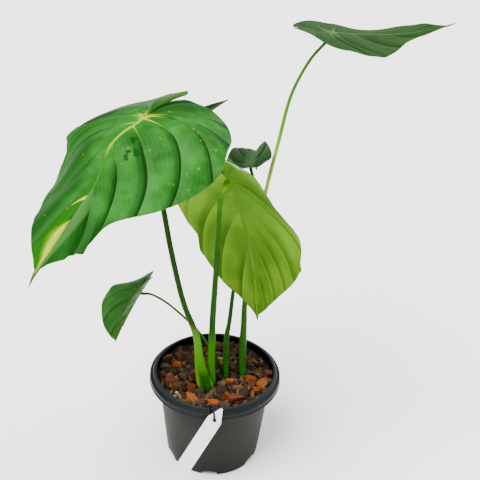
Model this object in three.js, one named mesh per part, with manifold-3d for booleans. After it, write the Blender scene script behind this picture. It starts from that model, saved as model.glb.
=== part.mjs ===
// A young philodendron with heart-shaped leaves in a round nursery pot.
// Millimetres, Z up. The origin is the centre of the pot's base on the ground,
// +X is right in the picture and +Y leads away from the viewer.
import * as THREE from 'three';
import { mergeVertices } from 'three/addons/utils/BufferGeometryUtils.js';
import Module from 'manifold-3d';

const wasm = await Module();
wasm.setup();

// Pot
const POT_HEIGHT = 104;
const RIM_RADIUS = 70;
const BASE_RADIUS = 50.5;
const NECK_RADIUS = 59.6;
const LIP_RADIUS = 66;
const SKIRT_DROP = 11;
const POT_WALL = 1.6;
const POT_SIDES = 36;
const DRAIN_COUNT = 6;
const DRAIN_WIDTH = 18;
const DRAIN_HEIGHT = 6;
const HANGER_SLOTS = 3;

// Potting mix
const MIX_TOP = 88;
const MIX_GAP = 0.35;
const CHIP_COUNT = 66;
const CHIP_SIZE = [8, 16];

// Plant
const BLADE_THICKNESS = 0.8;
const JOINT_GAP = 0.35;
const FAN_SHARE = 0.56;
const FAN_POWER = 1.7;
const VEIN_BOW = 0.5;
const HUB_REACH = 5;
const RHIZOME_TOP = 63.5;
const RHIZOME_RADIUS = 9;
const HOLE_CLEARANCE = 0.4;
const ROOT_CLEARANCE = 0.4;

// Plant label, a flat plastic stake hung on the rim by a wire loop
const LABEL_TIP = [8.1, -71, 109.6];
const LABEL_END = [-27.5, -88, 48.6];
const LABEL_FACING = [0, -0.83, 0.56];
const LABEL_WIDTH = 15;
const LABEL_THICKNESS = 0.8;
const LABEL_SHOULDER = 14.1;
const LABEL_HOLE_RADIUS = 2;
const WIRE_RADIUS = 0.5;

// Every leaf starts at its junction, where stalk, midrib and side veins meet.
// heading is the compass of the midrib (0 is +X, 90 is +Y), pitch its slope,
// both in degrees at the junction. The bends are the changes towards the tip:
// [over the length, over the length squared], and lobePitch the change
// towards the lobes. fold is how far a half is raised from flat and curl how
// much more it turns on its way to the margin, at four stations: lobe end,
// junction, half way, tip. An outline runs from the sinus over the lobe to
// the tip as [along the midrib, out from it].
const LEAVES = [
  {
    name: 'blade_1',
    colour: 0x3f8a2e,
    junction: [-71, -11, 383],
    heading: 237,
    pitch: -10,
    pitchBend: [-107, 88],
    headingBend: [12, -16],
    lobePitch: 10,
    roll: 6,
    rollBend: -25,
    length: 168,
    tail: 13,
    tailWidth: 3,
    tailPitch: -28,
    left: {
      lobe: 66, width: 96,
      fold: [-21, -5, -12, -8], curl: [-18, -21, -23, -5],
      outline: [[-20, 0.8], [-44, 4.4], [-59, 16], [-55, 48], [-30, 74], [16, 92],
        [46, 85], [80, 60], [107, 30], [134, 21], [151, 11], [168, 0]],
    },
    right: {
      lobe: 83, width: 89,
      fold: [-15, -9, -19, -8], curl: [7, -10, -35, -7],
      outline: [[-25, 0.8], [-61, 4.6], [-81, 14], [-80, 45], [-50, 78], [8, 90],
        [39, 83], [77, 66], [117, 44], [145, 23], [160, 9], [168, 0]],
    },
    veins: 8, rows: 6, puff: 1.8, wave: 1.2, waves: 5, rib: 1.4,
  },
  {
    name: 'blade_2',
    colour: 0x86a83c,
    junction: [5, -8, 324],
    heading: 44,
    pitch: -59,
    pitchBend: [-37, 14],
    headingBend: [1, -1],
    lobePitch: 29,
    roll: -15,
    rollBend: -19,
    length: 180,
    tail: 6,
    tailWidth: 2.4,
    tailPitch: 0,
    left: {
      lobe: 52, width: 66,
      fold: [-13, -7, -4, -2], curl: [-24, -20, -15, 0],
      outline: [[-15, 0.8], [-36, 6], [-48, 18], [-46, 39], [-28, 57], [12, 61],
        [49, 58], [93, 51], [130, 36], [154, 19], [168, 8], [180, 0]],
    },
    right: {
      lobe: 45, width: 70,
      fold: [-6, -10, -3, 3], curl: [-25, -22, -14, 1],
      outline: [[-13, 2], [-30, 13], [-41, 29], [-41, 46], [-25, 60], [11, 64],
        [56, 63], [102, 54], [134, 38], [158, 19], [171, 8], [180, 0]],
    },
    veins: 8, rows: 6, puff: 1.6, wave: 1.2, waves: 4, rib: 1.3,
  },
  {
    name: 'blade_3',
    colour: 0x3d5c3a,
    junction: [27, 53, 318],
    heading: 79,
    pitch: 16,
    pitchBend: [-47, -52],
    headingBend: [4, 4],
    lobePitch: -32,
    roll: -2,
    rollBend: -10,
    length: 83,
    tail: 3,
    tailWidth: 1.8,
    tailPitch: 0,
    left: {
      lobe: 16, width: 23,
      fold: [20, 20, 15, 5], curl: [-3, -7, -6, 0],
      outline: [[-5, 0.8], [-12, 3], [-16, 8], [-15, 16], [-8, 22], [10, 23],
        [26, 21], [41, 17], [55, 12], [68, 6], [76, 3], [83, 0]],
    },
    right: {
      lobe: 12, width: 24,
      fold: [30, 33, 38, 20], curl: [0, -10, 0, 0],
      outline: [[-4, 0.8], [-9, 3], [-12, 9], [-11, 17], [-7, 24], [3, 24],
        [19, 21], [36, 17], [53, 12], [67, 6], [76, 3], [83, 0]],
    },
    veins: 5, rows: 3, puff: 0.5, wave: 0.6, waves: 3, rib: 0.9,
  },
  {
    name: 'blade_4',
    colour: 0x4d7a40,
    junction: [95, 66, 448],
    heading: 12,
    pitch: -4,
    pitchBend: [3, 20],
    headingBend: [-5, -3],
    lobePitch: -10,
    roll: -5,
    rollBend: 18,
    length: 118,
    tail: 8,
    tailWidth: 2,
    tailPitch: 0,
    left: {
      lobe: 29, width: 55,
      fold: [-1, 4, -5, 3], curl: [1, 3, -13, 2],
      outline: [[-9, 1], [-20, 5], [-27, 17], [-26, 35], [-15, 50], [12, 54],
        [36, 52], [61, 43], [83, 29], [99, 15], [110, 5], [118, 0]],
    },
    right: {
      lobe: 42, width: 56,
      fold: [-1, -5, -6, -9], curl: [-5, -10, -15, 0],
      outline: [[-13, 0.9], [-32, 6], [-43, 19], [-40, 37], [-22, 52], [11, 56],
        [31, 53], [46, 42], [62, 27], [78, 13], [95, 5], [118, 0]],
    },
    veins: 6, rows: 5, puff: 0.9, wave: 0.8, waves: 4, rib: 1.1,
  },
  {
    name: 'blade_5',
    colour: 0x2c6a22,
    junction: [-79, 8, 191],
    heading: 244,
    pitch: -24,
    pitchBend: [-17, 14],
    headingBend: [9, -2],
    lobePitch: 13,
    roll: 19,
    rollBend: 7,
    length: 58,
    tail: 2,
    tailWidth: 1.8,
    tailPitch: 0,
    left: {
      lobe: 22, width: 26,
      fold: [60, 52, 51, 54], curl: [0, 0, 0, 0],
      outline: [[-7, 0.8], [-16, 3], [-22, 8], [-21, 16], [-12, 24], [3, 26],
        [16, 24], [27, 20], [39, 13], [48, 7], [54, 3], [58, 0]],
    },
    right: {
      lobe: 37, width: 42,
      fold: [-14, 10, 13, 8], curl: [-25, -12, -8, 1],
      outline: [[-11, 0.9], [-28, 3.4], [-37, 11], [-36, 26], [-21, 38], [4, 43],
        [17, 41], [30, 33], [43, 23], [52, 12], [56, 5], [58, 0]],
    },
    veins: 5, rows: 3, puff: 0.5, wave: 0.5, waves: 3, rib: 0.8,
  },
  {
    name: 'blade_6',
    colour: 0x66703e,
    junction: [-37, 20, 362],
    heading: 50,
    pitch: 15,
    pitchBend: [4, -4],
    headingBend: [0, 0],
    lobePitch: -25,
    roll: 0,
    rollBend: 0,
    length: 66,
    tail: 2,
    tailWidth: 1.8,
    tailPitch: 0,
    left: {
      lobe: 14, width: 15,
      fold: [45, 45, 45, 45], curl: [30, 30, 30, 20],
      outline: [[-4, 0.7], [-10, 2.5], [-14, 6], [-12, 11], [-6, 14], [6, 15],
        [20, 13], [34, 10], [46, 7], [56, 4], [62, 2], [66, 0]],
    },
    right: {
      lobe: 14, width: 15,
      fold: [45, 45, 45, 45], curl: [30, 30, 30, 20],
      outline: [[-4, 0.7], [-10, 2.5], [-14, 6], [-12, 11], [-6, 14], [6, 15],
        [20, 13], [34, 10], [46, 7], [56, 4], [62, 2], [66, 0]],
    },
    veins: 4, rows: 3, puff: 0.3, wave: 0.3, waves: 2, rib: 0.6,
  },
];

// Stalks, from the scar on the rhizome up to the blade. girth lists
// [height above the ground, half width across, half width in depth].
const STALKS = [
  {
    name: 'petiole_1', blade: 0, colour: 0x5f8c2c, sides: 12,
    route: [[-9.5, -10, 0], [-9.5, -10.5, 70], [-7.8, -13.5, 86], [-12, -13, 103], [-17, -13, 129],
      [-21, -13, 155], [-34, -12, 192], [-47, -12, 252], [-54, -12, 294], [-62, -11, 338]],
    girth: [[60, 2.8, 2.6], [80, 4.4, 3.5], [104, 5.2, 3.7], [150, 3.6, 3], [153, 2.9, 2.7],
      [250, 2.4, 2.3], [383, 2, 2]],
  },
  {
    name: 'petiole_2', blade: 1, colour: 0x6f9c30, sides: 10,
    route: [[-2.5, -5, 0], [-2.5, -5, 70], [-3.5, -5.5, 88], [-6, -6, 118], [-5, -6, 144],
      [-5, -6, 164], [-3, -8, 235], [-2, -8.5, 285], [-1.5, -9.5, 306]],
    girth: [[60, 2.6, 2.6], [80, 3.4, 3.4], [104, 3.7, 3.5], [155, 3, 3], [235, 2.4, 2.4], [330, 1.8, 1.8]],
  },
  {
    name: 'petiole_3', blade: 2, colour: 0x33591f, sides: 8,
    route: [[12, 6, 0], [12, 6.5, 70], [12, 10, 86], [11, 19, 103], [11, 26, 128], [13, 29, 143],
      [17, 37, 193], [26, 45, 254], [32, 50, 296]],
    girth: [[60, 2.4, 2.4], [95, 3, 3], [150, 2.1, 2.1], [320, 1.3, 1.3]],
  },
  {
    name: 'petiole_4', blade: 3, colour: 0x3d6a24, sides: 8,
    route: [[30, 6, 0], [30, 6.5, 70], [30.5, 9, 86], [29.5, 17, 99], [29, 24, 116], [29, 29, 141],
      [29, 36, 169], [33.5, 43, 226], [44.5, 51, 292], [53.5, 56, 341], [63.5, 61, 390], [79, 64, 423]],
    girth: [[60, 2.8, 2.8], [95, 4, 4], [150, 3, 3], [295, 1.6, 1.6], [450, 1.1, 1.1]],
  },
  {
    name: 'petiole_5', blade: 4, colour: 0x54801f, sides: 7,
    route: [[7, 7, 0], [7, 7.5, 70], [7.5, 14, 87], [-1, 17, 108], [-10, 16, 124],
      [-21, 14, 143], [-30, 13, 154], [-55, 11, 179], [-70, 10, 188]],
    girth: [[60, 1.4, 1.4], [100, 1.4, 1.4], [150, 0.9, 0.9], [200, 0.7, 0.7]],
  },
  {
    name: 'petiole_6', blade: 5, colour: 0x8fae33, sides: 7,
    route: [[-15.5, -8, 0], [-15.5, -7.5, 70], [-15, -4.5, 86], [-18, -1, 107], [-21, 2, 139],
      [-35, 5, 180], [-48, 10, 240], [-55, 14, 282], [-55, 18, 322], [-47, 20, 346]],
    girth: [[60, 1.6, 1.6], [95, 2.1, 2.1], [200, 1.5, 1.5], [360, 1.1, 1.1]],
  },
];

const RHIZOME_ROUTE = [[-22, -13, 55], [-10, -9, 55], [1, -3, 54], [11, 3, 54], [22, 6, 54], [36, 6, 55]];
const ROOTS = [
  [[-14, -10, 52], [-24, -16, 42], [-33, -14, 26], [-35, -4, 12]],
  [[2, -2, 50], [6, -16, 38], [4, -30, 24], [-6, -36, 10]],
  [[14, 7, 50], [8, 22, 38], [-4, 32, 26], [-16, 36, 12]],
  [[28, 7, 50], [36, 2, 38], [38, -10, 24], [34, -20, 10]],
];
const ROOT_RADIUS = 1.6;

const degrees = THREE.MathUtils.degToRad;
const clamp = THREE.MathUtils.clamp;
const vector = (p) => new THREE.Vector3(p[0], p[1], p[2]);

// Seeded random numbers from 0 to 1
function seeded(seed) {
  let state = seed;
  return () => {
    state = (state * 1664525 + 1013904223) % 4294967296;
    return state / 4294967296;
  };
}

// Value eased between stations
function eased(places, values, place) {
  let i = 0;
  while (i < places.length - 2 && place > places[i + 1]) i += 1;
  const t = clamp((place - places[i]) / (places[i + 1] - places[i]), 0, 1);
  return THREE.MathUtils.lerp(values[i], values[i + 1], t * t * (3 - 2 * t));
}

function geometryOf(points, faces) {
  const geometry = new THREE.BufferGeometry();
  geometry.setAttribute('position', new THREE.Float32BufferAttribute(points.flat(), 3));
  geometry.setIndex(faces.flat());
  return geometry;
}

function solid(geometry) {
  const bare = geometry.clone();
  bare.deleteAttribute('normal');
  bare.deleteAttribute('uv');
  const joined = mergeVertices(bare, 1e-4);
  return new wasm.Manifold(new wasm.Mesh({
    numProp: 3,
    vertProperties: new Float32Array(joined.attributes.position.array),
    triVerts: new Uint32Array(joined.index.array),
  }));
}

function geometryFromSolid(body) {
  const mesh = body.getMesh();
  const geometry = new THREE.BufferGeometry();
  geometry.setAttribute('position', new THREE.BufferAttribute(mesh.vertProperties, 3));
  geometry.setIndex(new THREE.BufferAttribute(mesh.triVerts, 1));
  return geometry;
}

// Keeps the largest shell, which fills the pockets closed in among the chips
function withoutPockets(geometry) {
  const index = geometry.index.array;
  const owner = Array.from({ length: geometry.attributes.position.count }, (_, i) => i);
  const find = (i) => {
    let k = i;
    while (owner[k] !== k) k = owner[k];
    owner[i] = k;
    return k;
  };
  for (let i = 0; i < index.length; i += 3) {
    const a = find(index[i]);
    owner[find(index[i + 1])] = a;
    owner[find(index[i + 2])] = a;
  }
  const size = new Map();
  index.forEach((i) => size.set(find(i), (size.get(find(i)) || 0) + 1));
  const largest = [...size.entries()].sort((p, q) => q[1] - p[1])[0][0];
  geometry.setIndex([...index].filter((_, i) => find(index[i - (i % 3)]) === largest));
  return mergeVertices(geometry, 1e-4);
}

const plant = new THREE.Group();
plant.name = 'potted_philodendron';

function add(name, geometry, look) {
  const shape = geometry.index ? geometry.toNonIndexed() : geometry;
  shape.deleteAttribute('normal');
  shape.computeVertexNormals();
  const mesh = new THREE.Mesh(shape, new THREE.MeshStandardMaterial(look));
  mesh.name = name;
  plant.add(mesh);
}

// Sweep of an ellipse along a route, capped or, if closed, run round to its
// start. girthAt gives [across, deep] at a point; the wide axis stays as near
// to the level direction as the route allows.
function sweep(points, girthAt, sides, closed = false, level = new THREE.Vector3(1, 0, 0)) {
  const vertices = [];
  const faces = [];
  const count = points.length;
  points.forEach((point, i) => {
    const before = closed ? points[(i + count - 1) % count] : points[Math.max(i - 1, 0)];
    const after = closed ? points[(i + 1) % count] : points[Math.min(i + 1, count - 1)];
    const along = after.clone().sub(before).normalize();
    const deep = new THREE.Vector3().crossVectors(along, level).normalize();
    const across = new THREE.Vector3().crossVectors(deep, along);
    const [a, b] = girthAt(point, i / (count - 1));
    for (let k = 0; k < sides; k += 1) {
      const turn = (2 * Math.PI * k) / sides;
      const at = point.clone().addScaledVector(across, a * Math.cos(turn));
      at.addScaledVector(deep, b * Math.sin(turn));
      vertices.push([at.x, at.y, at.z]);
    }
  });
  const rings = closed ? count : count - 1;
  for (let i = 0; i < rings; i += 1) {
    for (let k = 0; k < sides; k += 1) {
      const a = i * sides + k;
      const b = i * sides + ((k + 1) % sides);
      const c = ((i + 1) % count) * sides + ((k + 1) % sides);
      const d = ((i + 1) % count) * sides + k;
      faces.push([a, b, c], [a, c, d]);
    }
  }
  if (!closed) {
    for (let k = 1; k < sides - 1; k += 1) {
      const top = (count - 1) * sides;
      faces.push([0, k + 1, k], [top, top + k, top + k + 1]);
    }
  }
  return geometryOf(vertices, faces);
}

// The midrib: place and directions at any distance from the junction
function midribOf(leaf) {
  const lobe = Math.max(leaf.left.lobe, leaf.right.lobe) * 1.02;
  const end = leaf.length + leaf.tail;
  const steps = 200;
  const frames = [];
  for (let i = 0; i <= steps; i += 1) {
    const x = THREE.MathUtils.lerp(-lobe, end, i / steps);
    const f = clamp(x / leaf.length, 0, 1);
    const droop = clamp((x - leaf.length) / leaf.tail + 0.5, 0, 1) * leaf.tailPitch;
    const back = Math.max(-x, 0) / lobe;
    const bend = leaf.pitchBend[0] * f + leaf.pitchBend[1] * f * f;
    const pitch = degrees(leaf.pitch + bend + leaf.lobePitch * back + droop);
    const heading = degrees(leaf.heading + leaf.headingBend[0] * f + leaf.headingBend[1] * f * f);
    const roll = degrees(leaf.roll + leaf.rollBend * f);
    const level = new THREE.Vector3(Math.sin(heading), -Math.cos(heading), 0);
    const along = new THREE.Vector3(-level.y, level.x, 0).multiplyScalar(Math.cos(pitch));
    along.z = Math.sin(pitch);
    const upright = new THREE.Vector3().crossVectors(level, along);
    const side = level.clone().multiplyScalar(Math.cos(roll));
    side.addScaledVector(upright, -Math.sin(roll));
    const up = upright.clone().multiplyScalar(Math.cos(roll));
    up.addScaledVector(level, Math.sin(roll));
    frames.push({ x, along, side, up, place: new THREE.Vector3() });
  }
  for (let i = 1; i <= steps; i += 1) {
    const step = frames[i].x - frames[i - 1].x;
    frames[i].place.copy(frames[i - 1].place).addScaledVector(frames[i].along, step / 2);
    frames[i].place.addScaledVector(frames[i - 1].along, step / 2);
  }
  const at = (x) => {
    const where = clamp(((x + lobe) / (end + lobe)) * steps, 0, steps - 1e-6);
    const i = Math.floor(where);
    const mix = (key) => frames[i][key].clone().lerp(frames[i + 1][key], where - i);
    return { place: mix('place'), side: mix('side'), up: mix('up') };
  };
  const root = at(0).place;
  return (x) => {
    const frame = at(x);
    frame.place.sub(root).add(vector(leaf.junction));
    return frame;
  };
}

// Flat blade: u runs round the margin from the sinus (0) to the tip (1) and on
// into the drip tail; v runs along a vein from the midrib (0) to the margin (1)
function flatPoint(leaf, half, u, v) {
  const curve = half.curve;
  const isTail = u > 1;
  const tip = new THREE.Vector2(leaf.length, leaf.tailWidth / 2);
  const margin = isTail
    ? new THREE.Vector2(leaf.length + (u - 1) * leaf.tail, tip.y * (2 - u))
    : curve.getPoint(u);
  if (margin.x > 0 && !isTail) margin.y = Math.max(margin.y, tip.y);
  const share = clamp((u - FAN_SHARE) / (1 - FAN_SHARE), 0, 1) ** FAN_POWER;
  const foot = new THREE.Vector2(isTail ? margin.x : leaf.length * share, 0);
  const chord = margin.clone().sub(foot);
  const spread = chord.x > 0 ? Math.min(chord.y / chord.x, 1) : 1;
  const bow = VEIN_BOW * spread * eased([0.1, 0.6], [0, 1], u);
  const middle = foot.clone().add(margin).multiplyScalar(0.5);
  middle.add(new THREE.Vector2(-chord.y, chord.x).multiplyScalar(isTail ? 0 : bow));
  foot.multiplyScalar((1 - v) ** 2).addScaledVector(middle, 2 * v * (1 - v));
  return foot.addScaledVector(margin, v * v);
}

// Raised quilting between the veins and waves along the margin
function quilting(leaf, u, v, sign) {
  const between = Math.sin(Math.PI * ((u * leaf.veins) % 1)) ** 2;
  const reach = Math.sin(Math.PI * Math.min(v, 0.97) ** 0.8) ** 0.7;
  const wave = Math.sin(2 * Math.PI * leaf.waves * u + sign) * v ** 3;
  return leaf.puff * between * reach + leaf.wave * wave * clamp((1 - u) * 8, 0, 1);
}

// Blade surface in space for one half; sign is -1 on the left, +1 on the right
function bladePoint(leaf, midrib, half, sign, u, v) {
  const flat = flatPoint(leaf, half, u, v);
  const station = flat.x > 0 ? flat.x / leaf.length : flat.x / half.lobe;
  const stations = [-1, 0, 0.5, 1];
  const fold = degrees(eased(stations, half.fold, station));
  const curl = degrees(eased(stations, half.curl, station)) / half.width;
  const turn = Math.abs(curl) < 1e-6 ? 1e-6 : curl;
  const slope = fold + turn * flat.y;
  const across = (Math.sin(slope) - Math.sin(fold)) / turn;
  const lift = (Math.cos(fold) - Math.cos(slope)) / turn;
  const puff = quilting(leaf, u, v, sign);
  const frame = midrib(flat.x);
  return frame.place
    .addScaledVector(frame.side, sign * (across - puff * Math.sin(slope)))
    .addScaledVector(frame.up, lift + puff * Math.cos(slope));
}

// A blade as one closed sheet: grid along the veins, raised ribs underneath
function blade(leaf) {
  const midrib = midribOf(leaf);
  const columns = leaf.veins * 4;
  const tailColumns = 2;
  const hub = Math.max(0.05, HUB_REACH / Math.max(leaf.left.width, leaf.right.width));
  const rows = [0];
  for (let j = 0; j <= leaf.rows; j += 1) rows.push(hub + ((1 - hub) * j) / leaf.rows);
  const points = [];
  const drop = [];
  const faces = [];
  const push = (point, rib) => {
    points.push(point);
    drop.push(rib);
    return points.length - 1;
  };
  const junction = push(vector(leaf.junction), leaf.rib);
  const parameter = (i) => (i <= columns ? i / columns : 1 + (i - columns) / tailColumns);
  const last = columns + tailColumns;
  const spine = [];
  for (let i = 0; i <= last; i += 1) {
    const u = parameter(i);
    const foot = flatPoint(leaf, leaf.left, u, 0).x;
    const fade = 1 - 0.85 * clamp(foot / leaf.length, 0, 1);
    spine.push(foot < 0.4 ? junction : push(midrib(foot).place, leaf.rib * fade));
  }
  [[leaf.left, -1], [leaf.right, 1]].forEach(([half, sign]) => {
    const grid = [];
    for (let i = 0; i <= last; i += 1) {
      const u = parameter(i);
      const isVein = i % 4 === 0 && i < columns && i > 0;
      grid.push(rows.map((v, j) => {
        if (j === 0) return spine[i];
        if (i === last) return spine[last];
        const rib = isVein ? 0.55 * leaf.rib * (1 - v) : 0;
        return push(bladePoint(leaf, midrib, half, sign, u, v), j === 1 ? rib * 0.5 : rib);
      }));
    }
    for (let i = 0; i < last; i += 1) {
      for (let j = 0; j < rows.length - 1; j += 1) {
        const [a, b, c, d] = [grid[i][j], grid[i + 1][j], grid[i + 1][j + 1], grid[i][j + 1]];
        [[a, b, c], [a, c, d]].forEach((t) => {
          if (new Set(t).size === 3) faces.push(sign < 0 ? t : [t[0], t[2], t[1]]);
        });
      }
    }
  });
  return thicken(points, faces, drop);
}

// Gives a sheet its thickness, with deeper ribs on the underside
function thicken(points, faces, drop) {
  const sheet = geometryOf(points.map((p) => [p.x, p.y, p.z]), faces);
  sheet.computeVertexNormals();
  const normal = sheet.attributes.normal;
  const count = points.length;
  const top = points.map((p, i) => {
    const n = new THREE.Vector3().fromBufferAttribute(normal, i);
    return p.clone().addScaledVector(n, BLADE_THICKNESS / 2).toArray();
  });
  const bottom = points.map((p, i) => {
    const n = new THREE.Vector3().fromBufferAttribute(normal, i);
    return p.clone().addScaledVector(n, -BLADE_THICKNESS / 2 - drop[i]).toArray();
  });
  const shell = [];
  const edges = new Map();
  faces.forEach(([a, b, c]) => {
    shell.push([a, b, c], [a + count, c + count, b + count]);
    [[a, b], [b, c], [c, a]].forEach(([p, q]) => edges.set(`${p}_${q}`, [p, q]));
  });
  edges.forEach(([p, q]) => {
    if (edges.has(`${q}_${p}`)) return;
    shell.push([q, p, p + count], [q, p + count, q + count]);
  });
  return geometryOf([...top, ...bottom], shell);
}

LEAVES.forEach((leaf) => {
  [leaf.left, leaf.right].forEach((half) => {
    half.curve = new THREE.SplineCurve(half.outline.map(([x, y]) => new THREE.Vector2(x, y)));
  });
});

// Centre line of a stalk: from the rhizome through its route to the blade,
// which it meets square on from below
function stalkLine(stalk) {
  const leaf = LEAVES[stalk.blade];
  const up = midribOf(leaf)(0).up;
  const stop = BLADE_THICKNESS / 2 + leaf.rib + JOINT_GAP;
  const end = vector(leaf.junction).addScaledVector(up, -stop);
  const route = stalk.route.map(vector);
  route[0].z = RHIZOME_TOP + JOINT_GAP;
  route.push(end.clone().addScaledVector(up, -2 * stalk.girth.at(-1)[1]), end);
  const curve = new THREE.CatmullRomCurve3(route, false, 'centripetal');
  return curve.getPoints(route.length * 2 - 2);
}

function stalkGirth(stalk, spare = 0) {
  return (point) => {
    const heights = stalk.girth.map((g) => g[0]);
    const across = eased(heights, stalk.girth.map((g) => g[1]), point.z);
    const deep = eased(heights, stalk.girth.map((g) => g[2]), point.z);
    return [across + spare, deep + spare];
  };
}

function stalkBody(stalk) {
  return sweep(stalkLine(stalk), stalkGirth(stalk), stalk.sides);
}

// A line made longer at both ends
function lengthened(line, extra) {
  const last = line.length - 1;
  const longer = line.map((p) => p.clone());
  longer[0].addScaledVector(line[0].clone().sub(line[1]).normalize(), extra);
  longer[last].addScaledVector(line[last].clone().sub(line[last - 1]).normalize(), extra);
  return longer;
}

// The rhizome creeps under the surface, with thick roots and flat leaf scars
function rhizomeBody(spare) {
  const line = new THREE.CatmullRomCurve3(RHIZOME_ROUTE.map(vector)).getPoints(9);
  const stem = sweep(lengthened(line, spare), (p, t) => {
    const r = RHIZOME_RADIUS * (0.75 + 0.25 * Math.sin(Math.PI * t)) + spare;
    return [r, r];
  }, 10, false, new THREE.Vector3(0, 0, 1));
  let body = solid(stem);
  ROOTS.forEach((root) => {
    const path = new THREE.CatmullRomCurve3(root.map(vector)).getPoints(6);
    body = body.add(solid(sweep(lengthened(path, spare), (p, t) => {
      const r = ROOT_RADIUS * (1 - 0.5 * t) + spare;
      return [r, r];
    }, 6)));
  });
  const above = new THREE.BoxGeometry(120, 80, 40).translate(0, 0, RHIZOME_TOP + 20 + spare);
  return body.subtract(solid(above));
}

// Pot wall as one turned profile: floor, body, hollow collar and lip
function potProfile(inset) {
  const neck = POT_HEIGHT - SKIRT_DROP - 2;
  return [
    [BASE_RADIUS - POT_WALL - 1 - inset, 2 + inset],
    [BASE_RADIUS - POT_WALL + 0.2 - inset, 3.4 + inset],
    [NECK_RADIUS - POT_WALL - inset, neck],
    [NECK_RADIUS - POT_WALL + 0.2 - inset, neck + 2.2 + inset / 2],
    [LIP_RADIUS - 4 - inset, neck + 4.1 + inset / 2],
    [LIP_RADIUS - 4 - inset, POT_HEIGHT - 0.9],
    [LIP_RADIUS - 3.1, POT_HEIGHT],
  ];
}

function potBody() {
  const neck = POT_HEIGHT - SKIRT_DROP - 2;
  const skirt = POT_HEIGHT - SKIRT_DROP;
  const profile = [
    [0, 0],
    [BASE_RADIUS - 1, 0],
    [BASE_RADIUS, 1],
    [NECK_RADIUS, neck],
    [NECK_RADIUS + 0.3, neck + 0.8],
    [LIP_RADIUS - 2.3, neck + 2.6],
    [LIP_RADIUS - 2.3, POT_HEIGHT - 5],
    [RIM_RADIUS - 2, POT_HEIGHT - 5],
    [RIM_RADIUS - 1.6, skirt],
    [RIM_RADIUS, skirt],
    [RIM_RADIUS, skirt + 1.2],
    [RIM_RADIUS - 0.5, skirt + 1.6],
    [RIM_RADIUS - 0.6, POT_HEIGHT - 4.2],
    [RIM_RADIUS - 1.3, POT_HEIGHT - 3.5],
    [LIP_RADIUS + 0.1, POT_HEIGHT - 3.3],
    [LIP_RADIUS, POT_HEIGHT - 0.9],
    [LIP_RADIUS - 0.8, POT_HEIGHT],
    ...potProfile(0).reverse(),
    [0, 2],
  ].map(([r, z]) => new THREE.Vector2(r, z));
  const turned = new THREE.LatheGeometry(profile, POT_SIDES).rotateX(Math.PI / 2);
  let body = solid(turned);
  const arch = new THREE.Shape();
  arch.moveTo(-DRAIN_WIDTH / 2, -1);
  arch.lineTo(DRAIN_WIDTH / 2, -1);
  arch.lineTo(DRAIN_WIDTH / 2, 1.5);
  arch.quadraticCurveTo(DRAIN_WIDTH / 3, DRAIN_HEIGHT, 0, DRAIN_HEIGHT);
  arch.quadraticCurveTo(-DRAIN_WIDTH / 3, DRAIN_HEIGHT, -DRAIN_WIDTH / 2, 1.5);
  for (let i = 0; i < DRAIN_COUNT; i += 1) {
    const cut = { depth: 12, bevelEnabled: false, curveSegments: 4 };
    const notch = new THREE.ExtrudeGeometry(arch, cut).rotateX(Math.PI / 2);
    notch.translate(0, -42, 0).rotateZ(degrees((360 * i) / DRAIN_COUNT - 3));
    body = body.subtract(solid(notch));
  }
  for (let i = 0; i < HANGER_SLOTS; i += 1) {
    const slot = new THREE.BoxGeometry(4, 6, 2.6).translate(0, -RIM_RADIUS, skirt + 3.4);
    slot.rotateZ(degrees((360 * i) / HANGER_SLOTS - 27));
    body = body.subtract(solid(slot));
  }
  return body;
}

// A chip of bark: a box with its corners moved
function chip(random) {
  const size = THREE.MathUtils.lerp(CHIP_SIZE[0], CHIP_SIZE[1], random() ** 1.5);
  const breadth = size * (0.5 + 0.4 * random());
  const box = new THREE.BoxGeometry(size, breadth, size * (0.35 + 0.3 * random()));
  box.deleteAttribute('normal');
  box.deleteAttribute('uv');
  const shape = mergeVertices(box, 1e-4);
  const position = shape.attributes.position;
  for (let i = 0; i < position.count; i += 1) {
    const shift = () => (random() - 0.5) * size * 0.22;
    position.setX(i, position.getX(i) + shift());
    position.setY(i, position.getY(i) + shift());
    position.setZ(i, position.getZ(i) + shift() * 0.7);
  }
  shape.rotateX((random() - 0.5) * 1.3);
  shape.rotateY((random() - 0.5) * 1.3);
  shape.rotateZ(random() * Math.PI * 2);
  return shape;
}

// The mix fills the pot; bark chips stand half sunk in its surface, and the
// stalks, rhizome and roots have their own room in it
function mixBody() {
  const random = seeded(21);
  const wall = potProfile(MIX_GAP);
  const turned = (outline) => {
    const points = outline.map(([r, z]) => new THREE.Vector2(r, z));
    return solid(new THREE.LatheGeometry(points, POT_SIDES).rotateX(Math.PI / 2));
  };
  const fill = [[0, 2 + MIX_GAP], ...wall.slice(0, 2), [wall[2][0], MIX_TOP], [0, MIX_TOP]];
  let body = turned(fill);
  for (let i = 0; i < CHIP_COUNT; i += 1) {
    const reach = Math.sqrt((i + 0.5) / CHIP_COUNT) * 57;
    const turn = i * 2.39996;
    const piece = chip(random);
    const rise = reach > 48 ? 4 : 0.3;
    piece.translate(reach * Math.cos(turn), reach * Math.sin(turn), MIX_TOP + rise + 1.6 * random());
    body = body.add(solid(piece));
  }
  const room = [[0, 0], [BASE_RADIUS - 3, 0], ...wall.slice(0, 5), [0, POT_HEIGHT - 0.9]];
  body = body.intersect(turned(room));
  STALKS.forEach((stalk) => {
    const line = stalkLine(stalk).filter((p) => p.z < POT_HEIGHT + 25);
    line.unshift(line[0].clone().add(new THREE.Vector3(0, 0, -3)));
    body = body.subtract(solid(sweep(line, stalkGirth(stalk, HOLE_CLEARANCE), stalk.sides)));
  });
  return body.subtract(rhizomeBody(ROOT_CLEARANCE));
}

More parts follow.
